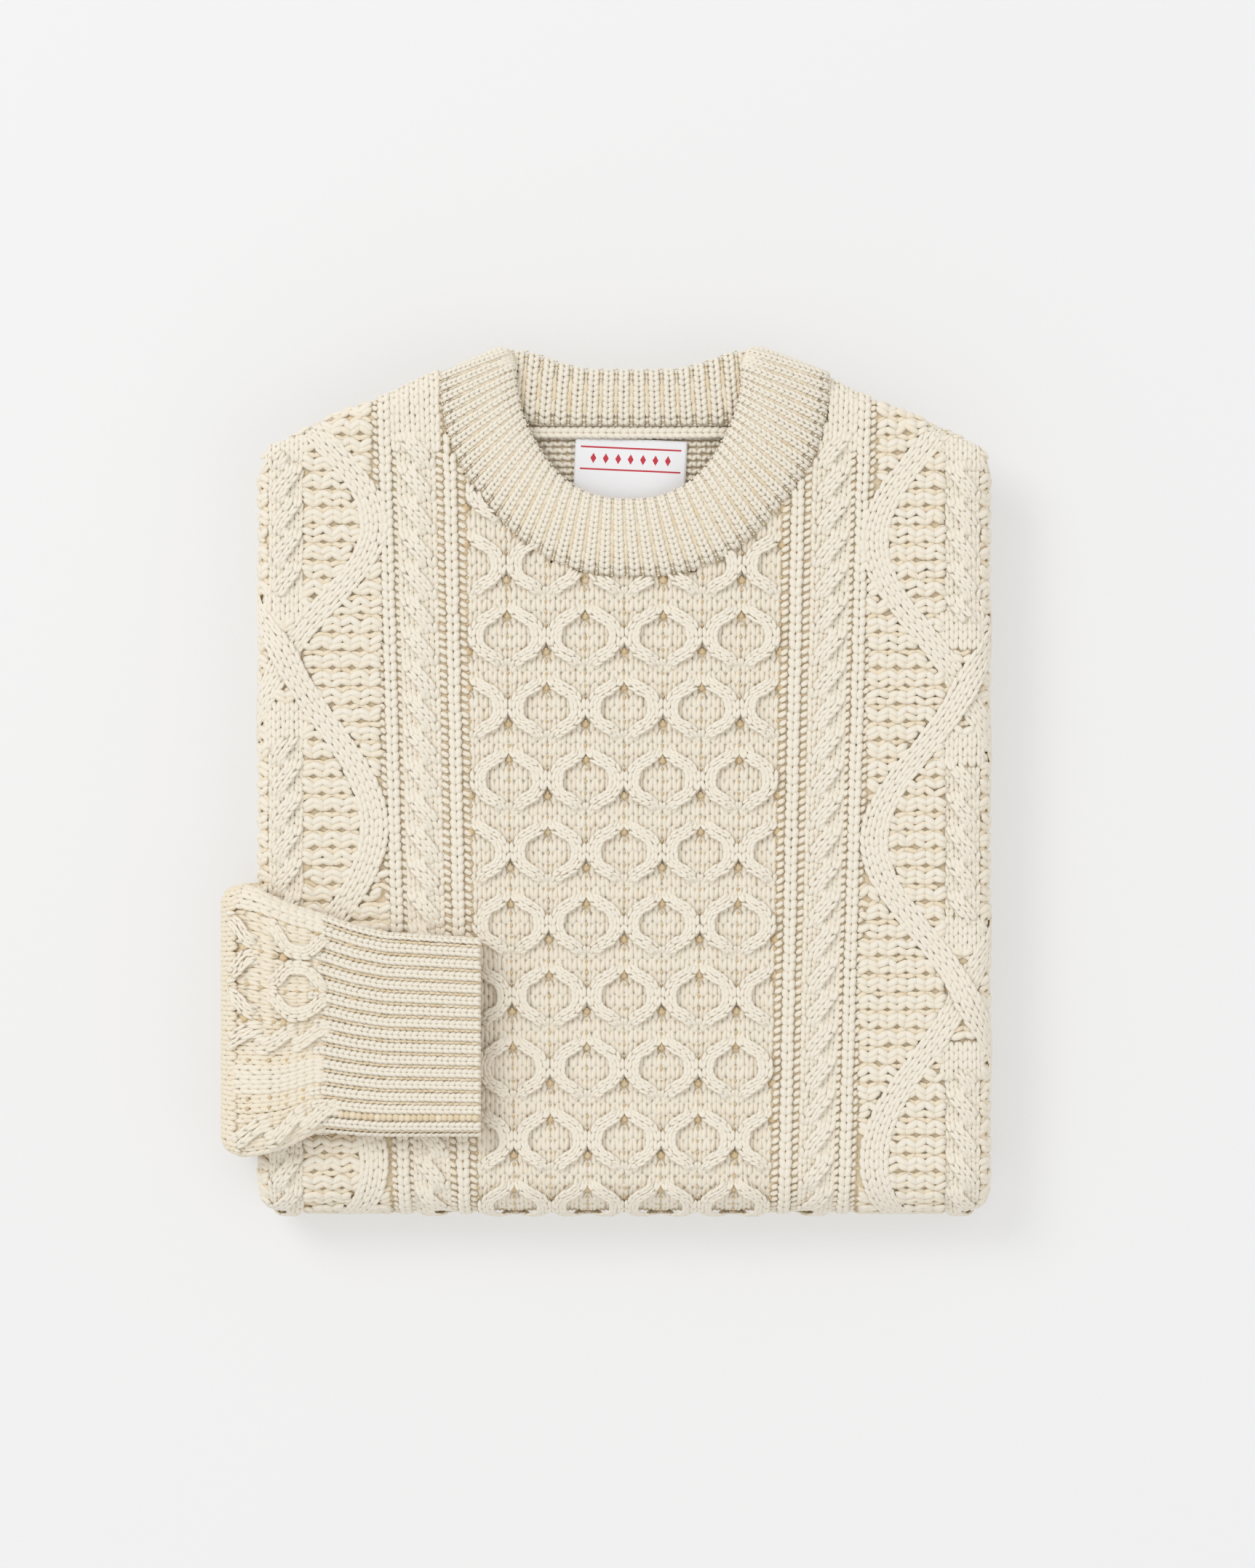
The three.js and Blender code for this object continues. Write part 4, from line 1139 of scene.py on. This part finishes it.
def shell(name, place, places, outer, inner, material=GROUND, kept=None, closed_round=False):
    """A thin closed cloth on a surface, over a grid of chart places; kept says which cells are cloth."""
    across, along = places
    shape = across.shape
    top, bottom = (place(across, along, out).reshape(-1, 3) for out in (outer, inner))
    index = np.arange(across.size).reshape(shape)
    if closed_round:
        index = np.vstack([index, index[:1]])
    cells = np.stack([index[:-1, :-1], index[1:, :-1], index[1:, 1:], index[:-1, 1:]], -1)
    faces = cells.reshape(-1, 4) if kept is None else cells[kept]
    edges = np.concatenate([faces[:, [k, (k + 1) % 4]] for k in range(4)])
    _, first, uses = np.unique(np.sort(edges, axis=1), axis=0, return_index=True, return_counts=True)
    rim = edges[first[uses == 1]]
    count = len(top)
    walls = np.stack([rim[:, 1], rim[:, 0], rim[:, 0] + count, rim[:, 1] + count], 1)
    whole = np.vstack([faces, faces[:, ::-1] + count, walls])
    mesh = bpy.data.meshes.new(name)
    mesh.from_pydata((np.vstack([top, bottom]) * MM).tolist(), [], whole.tolist())
    mesh.update()
    made = new_object(name, mesh)
    tidy_mesh(mesh)
    mesh.materials.append(material)
    mesh.shade_smooth()
    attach(made, "root")
    return made


# The pieces


def make_front():
    """The front: its cables in six pieces, over a ground with the neck cut out."""
    neck = neck_outline(grow=1.5)

    def add(name, chart, sides=5):
        """Knits what shows of a chart that is laid on the front."""
        yarn = facing_up(laid(chart, place_front), least=-0.5)
        spot = yarn["spot"]
        in_neck = inside(spot, neck) & (spot[:, 2] > ON_TOP)
        knit(name, only(yarn, ~in_neck & ~under_sleeve(spot, margin=9)), sides)

    wales, bands = honeycomb_charts()
    add("honeycomb_wales", wales, sides=4)
    add("honeycomb_bands", bands)
    ropes = narrowed(side_chart())
    left_diamonds = mirrored(diamond_chart(LEFT_CROSSES))
    right_diamonds = diamond_chart(RIGHT_CROSSES)
    add("left_rope_stitches", mirrored(ropes))
    add("right_rope_stitches", ropes)
    add("left_diamond_stitches", left_diamonds)
    add("right_diamond_stitches", right_diamonds)
    across = np.concatenate([
        np.linspace(-SIDE_LIMIT, -FLAT_HALF_WIDTH, 14),
        np.linspace(-FLAT_HALF_WIDTH, FLAT_HALF_WIDTH, 80)[1:-1],
        np.linspace(FLAT_HALF_WIDTH, SIDE_LIMIT, 14),
    ])
    across, share = grid(across, np.linspace(0, 1, 110))
    along = UNDER_FOLD + share * (front_end(across) - UNDER_FOLD)
    middles = [(places[1:, 1:] + places[:-1, :-1]) / 2 for places in (across, along)]
    middle = place_front(*middles, 0.0)
    hole = inside(middle.reshape(-1, 3), neck_outline(grow=0.0)).reshape(middle.shape[:2])
    hole &= middle[..., 2] > ON_TOP
    cloth = shell("front_ground", place_front, (across, along), outer=-0.9, inner=-2.9, kept=~hole)
    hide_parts("front")


def edging(half, pitch, along):
    """A row of small bumps where the ribs are bound off."""
    across = np.arange(-half + pitch, half - pitch / 2, pitch)
    reach = 0.55 * pitch
    return rungs(across - reach, across + reach, along, rise=-0.5, out=0.5, width=2.4, tone=0.9)


def rib_place(number):
    """Where a rib of the neckband lies: the ribs are closest at its ends."""
    share = number / FRONT_RIBS - 0.5
    return SEAM_LENGTH * (share + 0.026 * math.sin(2 * math.pi * share))


BAND_ROW = 2.6
CORNER_ROW = 2.45


def band_rib(across, wide, rows, thread):
    """One rib of the neckband and, where it has a thread, the groove beside it."""
    legs = [rib(across, rows, BAND_ROW, 0.84 * wide, out=0.6)]
    if thread:
        beside = across + wide / 2
        # The groove and its purl bumps in low tones: painted shade between the ribs
        legs.append(groove(beside, rows[::2], 2 * BAND_ROW, thread * wide, out=-0.05, tone=0.3))
        legs.append(ladder(beside, rows, BAND_ROW, 0.2 * wide, rise=0.1, out=0.35, thick=0.68, tone=0.5))
    return legs


def make_neckband():
    """The neckband: ribs in front and at the back, a roll at each corner, and a ground for each."""
    legs = []
    rows = rows_between(1.0, BAND_ROUND - 1, BAND_ROW)
    for number in range(FRONT_RIBS):
        wide = rib_place(number + 1) - rib_place(number)
        legs += band_rib(rib_place(number + 0.5), wide, rows, 0.46 if number < FRONT_RIBS - 1 else 0)
    legs.append(edging(SEAM_LENGTH / 2, SEAM_LENGTH / FRONT_RIBS / 2, along=0.9))
    parts = [facing_up(laid(np.vstack(legs), place_band, wobble=0.1), least=-0.3)]
    legs = []
    pitch = 2 * BACK_HALF_WIDTH / BACK_RIBS
    rows = rows_between(1.0, BACK_ROUND - 1, BAND_ROW)
    for number in range(BACK_RIBS):
        legs += band_rib(pitch * (number + 0.5) - BACK_HALF_WIDTH, pitch, rows, 0.44)
    legs.append(edging(BACK_HALF_WIDTH, pitch / 2, along=3.0))
    parts.append(facing_up(laid(np.vstack(legs), place_back_band, wobble=0.1), least=-0.3))
    corners = [place_corner(side) for side in (-1, 1)]
    for place, radius, length in corners:
        rows = rows_between(1.5, length - 1.5, CORNER_ROW)
        places = [radius * (number * 0.4 - 0.2) for number in range(-2, 8)]
        legs = [wale(upright(across, out=0.3), rows, CORNER_ROW, gauge=3.6) for across in places]
        parts.append(laid(np.vstack(legs), place, wobble=0.1))
    extra = [knit("neckband_stitches", together(*parts), sides=4)]
    places = grid(np.linspace(-0.5, 0.5, 140) * (SEAM_LENGTH - 4.4), np.linspace(0, BAND_ROUND, 26))
    cloth = shell("neckband_ground", place_band, places, outer=-0.9, inner=-2.2)
    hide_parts("neckband")
    places = grid(np.linspace(-1, 1, 90) * BACK_HALF_WIDTH, np.linspace(0, BACK_ROUND, 20))
    behind = shell("neckband_back_ground", place_back_band, places, outer=-0.9, inner=-2.2)
    for (place, radius, length), word in zip(corners, ("left", "right")):
        places = grid(np.linspace(-1.2, 3.4, 20) * radius, np.linspace(0, length, 16))
        roll = shell(f"neckband_{word}_corner", place, places, outer=-0.8, inner=-2.0)
        extra.append(roll)


def purl_rows(left, right, low, high, pitch, gauge):
    """The wrong side of plain knit: rows of small waves."""
    legs = []
    for number, y in enumerate(np.arange(low, high, pitch)):
        x = np.arange(left, right, gauge / 2)
        up = zigzag(len(x), number)
        legs.append(wavy(columns(x, y + 0.9 * up, 0.2 * up), overlap=0.2, width=2.7, tone=0.85))
    return np.vstack(legs)


BACK_CHAIN_X = -168.5
BACK_CHAIN_ROW = 3.6


def make_back():
    """The inside of the back below the band, and the chain of stitches behind the left shoulder."""
    rows = purl_rows(left=-90, right=98, low=104, high=172, pitch=3.3, gauge=GAUGE)
    yarn = laid(rows, place_back_inside, wobble=0.15)
    yarn = only(yarn, inside(yarn["spot"], neck_outline(grow=6)))
    rows = rows_between(-40, 68, BACK_CHAIN_ROW)
    chain = wale(upright(BACK_CHAIN_X, out=0.0), rows, BACK_CHAIN_ROW, gauge=5.2)

    def on_edge(across, along, out):
        return columns(along, -across, BACK_FACE_Z + 3.0 + out)

    ridge = laid(chain, on_edge, wobble=0.1)
    stitches = knit("back_stitches", together(yarn, ridge), sides=4)
    across, along = grid(np.linspace(-158, 158, 60), np.linspace(88, 190, 40))
    along = np.minimum(along, shoulder_at(across) - 12)
    cloth = shell("back_ground", place_back_inside, (across, along), outer=-0.9, inner=-2.4)
    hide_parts("back")


# The sleeve's chart, across from the middle of its upper face; a rope is its place, gauge and start
SLEEVE_ROW = 4.1
SLEEVE_CELLS = (1.5, 16.8, 33.5, 50.6)
SLEEVE_CELL_REPEAT = 16.4
SLEEVE_ROPES = ((-6.6, 4.1, 6), (-50.5, 4.4, 2))
SLEEVE_WALES = (53.2, 57.6, 62.0, 66.4, 70.8, -21.6, -26.0, -30.4, -61.5, -66.0, -70.5)
SLEEVE_PURLS = (-17.2, -34.8, -39.2)
SLEEVE_PLAIN = 15.0
SLEEVE_SHADE = 0.66


def make_sleeve():
    """The sleeve: cables on top, and plain wales where it goes down the side and under, all in a lower tone
    as painted shade.
    """
    place = place_tube(SLEEVE_THICKNESS)
    low, high = 2.0, path_at(JOIN_X + 3.0)
    plain_to = path_at(TURN_X) - SLEEVE_PLAIN
    rows = rows_between(low, high, SLEEVE_ROW)
    sizes = (SLEEVE_CELLS, high - 4, SLEEVE_CELL_REPEAT, low)
    cells = np.vstack([cell_wales(*sizes, high), cell_bands(*sizes, high + 8)])
    cells[:, [2, 5]] = 0.85 * cells[:, [2, 5]] + 0.2
    legs = [cells]
    for across, gauge, start in SLEEVE_ROPES:
        legs.append(rope(across, gauge, high - start, ROPE_REPEAT, 1.0, low, high))
    for across in SLEEVE_WALES:
        legs.append(wale(upright(across, out=0.4), rows, SLEEVE_ROW, GAUGE))
    # Purl wales in a lower tone, with dark strands beside them: painted shade
    for across in SLEEVE_PURLS:
        legs.append(wale(upright(across, out=-0.3), rows, SLEEVE_ROW, GAUGE, tone=0.85))
        legs.append(gaps(across, rows[::2], width=2.2, height=1.6, out=0.4))
    legs = np.vstack(legs)
    legs = [legs[ends_of(legs)[:, 1] > plain_to]]
    rows = rows_between(low, plain_to + 2, SLEEVE_ROW)
    # The plain wales on the fold in a lower tone: painted shade where the sleeve turns down
    for across in np.arange(-72.0, 73.0, 4.5):
        legs.append(wale(upright(across, out=0.9), rows, SLEEVE_ROW, GAUGE, tone=0.62))
    yarn = facing_up(laid(np.vstack(legs), place), least=-0.4)
    # The whole sleeve in a lower tone: painted shade
    yarn["tone"] *= SLEEVE_SHADE
    stitches = knit("sleeve_stitches", yarn)
    girth = 2 * (TUBE_NOMINAL * 2 + SLEEVE_THICKNESS)
    places = grid(np.linspace(-girth / 2, girth / 2, 80)[:-1], np.linspace(0, high, 44))
    cloth = shell("sleeve_ground", place, places, outer=-1.2, inner=-3.0, closed_round=True)
    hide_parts("sleeve")


# The cuff: its row pitch, and the one groove that lies more open than the others
CUFF_ROW = 2.9
WIDE_GROOVE = -7
WIDE_GROOVE_EXTRA = 2.6
WIDE_GROOVE_ROW = 3.3


def make_cuff():
    """The cuff: ribs with grooves between them."""
    place = place_tube(CUFF_THICKNESS)
    low, high = path_at(JOIN_X - 2), path_at(MOUTH_X - 0.8)
    pitch = 2 * TUBE_NOMINAL / CUFF_RIBS
    legs = []
    for number in range(-11, 12):
        wide = WIDE_GROOVE_EXTRA if number == WIDE_GROOVE else 0.0
        across = number * pitch - (WIDE_GROOVE_EXTRA if number <= WIDE_GROOVE else 0.0)
        start = low + random.uniform(-3.5, 2.5)
        legs.append(rib(across, rows_between(start, high, CUFF_ROW), CUFF_ROW, gauge=5.7))
        between = across + (pitch + wide) / 2
        rows = rows_between(start + 1, high - 1, CUFF_ROW)
        # The groove and the open groove's bumps in low tones: painted shade between the ribs
        legs.append(groove(between, rows, CUFF_ROW, 2.1 + wide, out=0.15, tone=0.22))
        if wide:
            rows = rows_between(start, high, WIDE_GROOVE_ROW)
            legs.append(ladder(between, rows, WIDE_GROOVE_ROW, width=1.6, rise=0.3, out=0.2, tone=0.45))
    yarn = facing_up(laid(np.vstack(legs), place, wobble=0.1), least=-0.4)
    stitches = knit("cuff_stitches", yarn, sides=4)
    girth = 2 * (TUBE_NOMINAL * 2 + CUFF_THICKNESS)
    places = grid(np.linspace(-girth / 2, girth / 2, 90)[:-1], np.linspace(low, high, 30))
    cloth = shell("cuff_ground", place, places, outer=-1.0, inner=-2.6, closed_round=True)
    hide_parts("cuff")


LABEL_WIDTH = 54.0
LABEL_HEIGHT = 38.0
LABEL_X = 10.2
LABEL_UP = 146.6
LABEL_TURN = -0.045
LABEL_Z = 37.1


def make_label():
    """The label, a little wavy, with its print mapped on it."""
    cosine, sine = math.cos(LABEL_TURN), math.sin(LABEL_TURN)

    @surface
    def place(across, along, out):
        wave = 0.25 * np.sin(across / 7.0) + 0.2 * np.cos(along / 6.0 + across / 15.0)
        x = LABEL_X + across * cosine - along * sine
        return columns(x, LABEL_UP + across * sine + along * cosine, LABEL_Z + wave + out)

    places = grid(np.linspace(-0.5, 0.5, 41) * LABEL_WIDTH, np.linspace(-0.5, 0.5, 29) * LABEL_HEIGHT)
    made = shell("neck_label", place, places, outer=0.5, inner=0.05, material=satin_material())
    uv = made.data.uv_layers.new(name="UVMap")
    spots = np.array([made.data.vertices[loop.vertex_index].co for loop in made.data.loops]) / MM
    x, y = spots[:, 0] - LABEL_X, spots[:, 1] - LABEL_UP
    u = (x * cosine + y * sine) / LABEL_WIDTH + 0.5
    v = (-x * sine + y * cosine) / LABEL_HEIGHT + 0.5
    uv.data.foreach_set("uv", columns(u, v).astype(np.float32).ravel())
    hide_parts("label")


def make_hidden_layers():
    """The folded-away cloth: a softened copy of its solid with stitches on the edges that show."""
    made = new_object("folded_layers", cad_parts["hidden_layers"].data.copy())
    tidy_mesh(made.data)
    remesh = made.modifiers.new("even", "REMESH")
    remesh.mode = "VOXEL"
    remesh.voxel_size = 3.6 * MM
    relax = made.modifiers.new("relax", "SMOOTH")
    relax.factor = 0.5
    relax.iterations = 4
    done = apply_modifiers(made)
    done.materials.clear()
    done.materials.append(layers_material())
    done.shade_smooth()
    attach(made, "root")
    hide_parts("hidden_layers")
    spots = [tuple(vert.co) for vert in done.vertices]
    cloth = BVHTree.FromPolygons(spots, [tuple(face.vertices) for face in done.polygons])
    found = []
    for side in (-1, 1):
        for z in np.arange(1.6, 34, 4.3):
            rays = [((BODY_CENTRE + side * 230, y, z), (-side, 0, 0)) for y in np.arange(-182, 168, ROW)]
            found.append(edge_stitches(cloth, rays, np.array([0.0, 1.0, 0.0])))
    spread, heights = np.arange(-168, 169, GAUGE), np.arange(2, 32, ROW)
    rays = [((BODY_CENTRE + x, 260, z), (0, -1, 0)) for x in spread for z in heights]
    found.append(edge_stitches(cloth, rays, np.array([0.0, 0.0, 1.0])))
    knit("folded_layer_stitches", together(*[part for part in found if part]), sides=4)


def edge_stitches(cloth, rays, way):
    """Two legs where each ray meets the cloth, with the wales running one way."""
    spots, ups = [], []
    for start, direction in rays:
        spot, normal, _, distance = cloth.ray_cast(Vector(start) * MM, Vector(direction))
        if spot is not None and distance < 0.1:
            spots.append(np.array(spot) / MM)
            ups.append(np.array(normal))
    if not spots:
        return None
    spots, ups = np.array(spots), unit(np.array(ups))
    along = unit(way - ups * (ups @ way)[:, None])
    right = np.cross(along, ups)
    parts = []
    for hand in (-1, 1):
        parts.append({
            "spot": spots + right * hand * 1.1 + ups * 0.35,
            "along": unit(along + right * hand * 0.32),
            "up": ups,
            "size": np.tile([6.4, 2.9, 2.3], (len(spots), 1)),
            "tone": random.uniform(0.75, 1.0, len(spots)),
        })
    return together(*parts)


# The stage: sizes in metres, and lamps by place, size and power
FLOOR_HALF = 6.0
FLOOR_GLOW = 0.372
WORLD_STRENGTH = 0.76
LAMPS = (("window", (-2.2, 1.9, 3.2), 1.8, 56), ("fill", (2.4, -1.2, 3.2), 2.4, 10))
LENS = 114.5
EYE = (0.0091, -0.0009, 0.045 + 2.4)


def make_floor():
    """A pale floor that glows a little, so that its tone is the photo's."""
    colours = {"Base_Color": linear(188, 188, 188), "Emission_Color": linear(255, 255, 255)}
    material, _, _ = paint("pale_floor", Roughness=0.9, Emission_Strength=FLOOR_GLOW, **colours)
    mesh = bpy.data.meshes.new("floor")
    corners = [(x * FLOOR_HALF, y * FLOOR_HALF, 0) for x, y in ((-1, -1), (1, -1), (1, 1), (-1, 1))]
    mesh.from_pydata(corners, [], [(0, 1, 2, 3)])
    mesh.materials.append(material)
    floor = new_object("floor", mesh)


def make_light():
    """A white world, a window high on the left and a weak fill."""
    world = bpy.data.worlds.new("studio")
    bpy.context.scene.world = world
    world.use_nodes = True
    background = world.node_tree.nodes["Background"]
    background.inputs["Color"].default_value = (1, 1, 1, 1)
    background.inputs["Strength"].default_value = WORLD_STRENGTH
    for name, place, size, power in LAMPS:
        light = bpy.data.lights.new(name, "AREA")
        light.size = size
        light.energy = power
        lamp = new_object(name, light)
        lamp.location = place
        lamp.rotation_euler = (-Vector(place)).to_track_quat("-Z", "Y").to_euler()


def make_camera():
    """A long lens straight above."""
    camera = bpy.data.cameras.new("camera")
    camera.sensor_width = 36
    camera.lens = LENS
    eye = new_object("camera", camera)
    eye.location = EYE
    bpy.context.scene.camera = eye


make_camera()
make_light()
make_floor()
make_front()
make_neckband()
make_back()
make_sleeve()
make_cuff()
make_label()
make_hidden_layers()
bpy.context.scene.view_settings.view_transform = "Standard"
bpy.context.scene.cycles.diffuse_bounces = 8
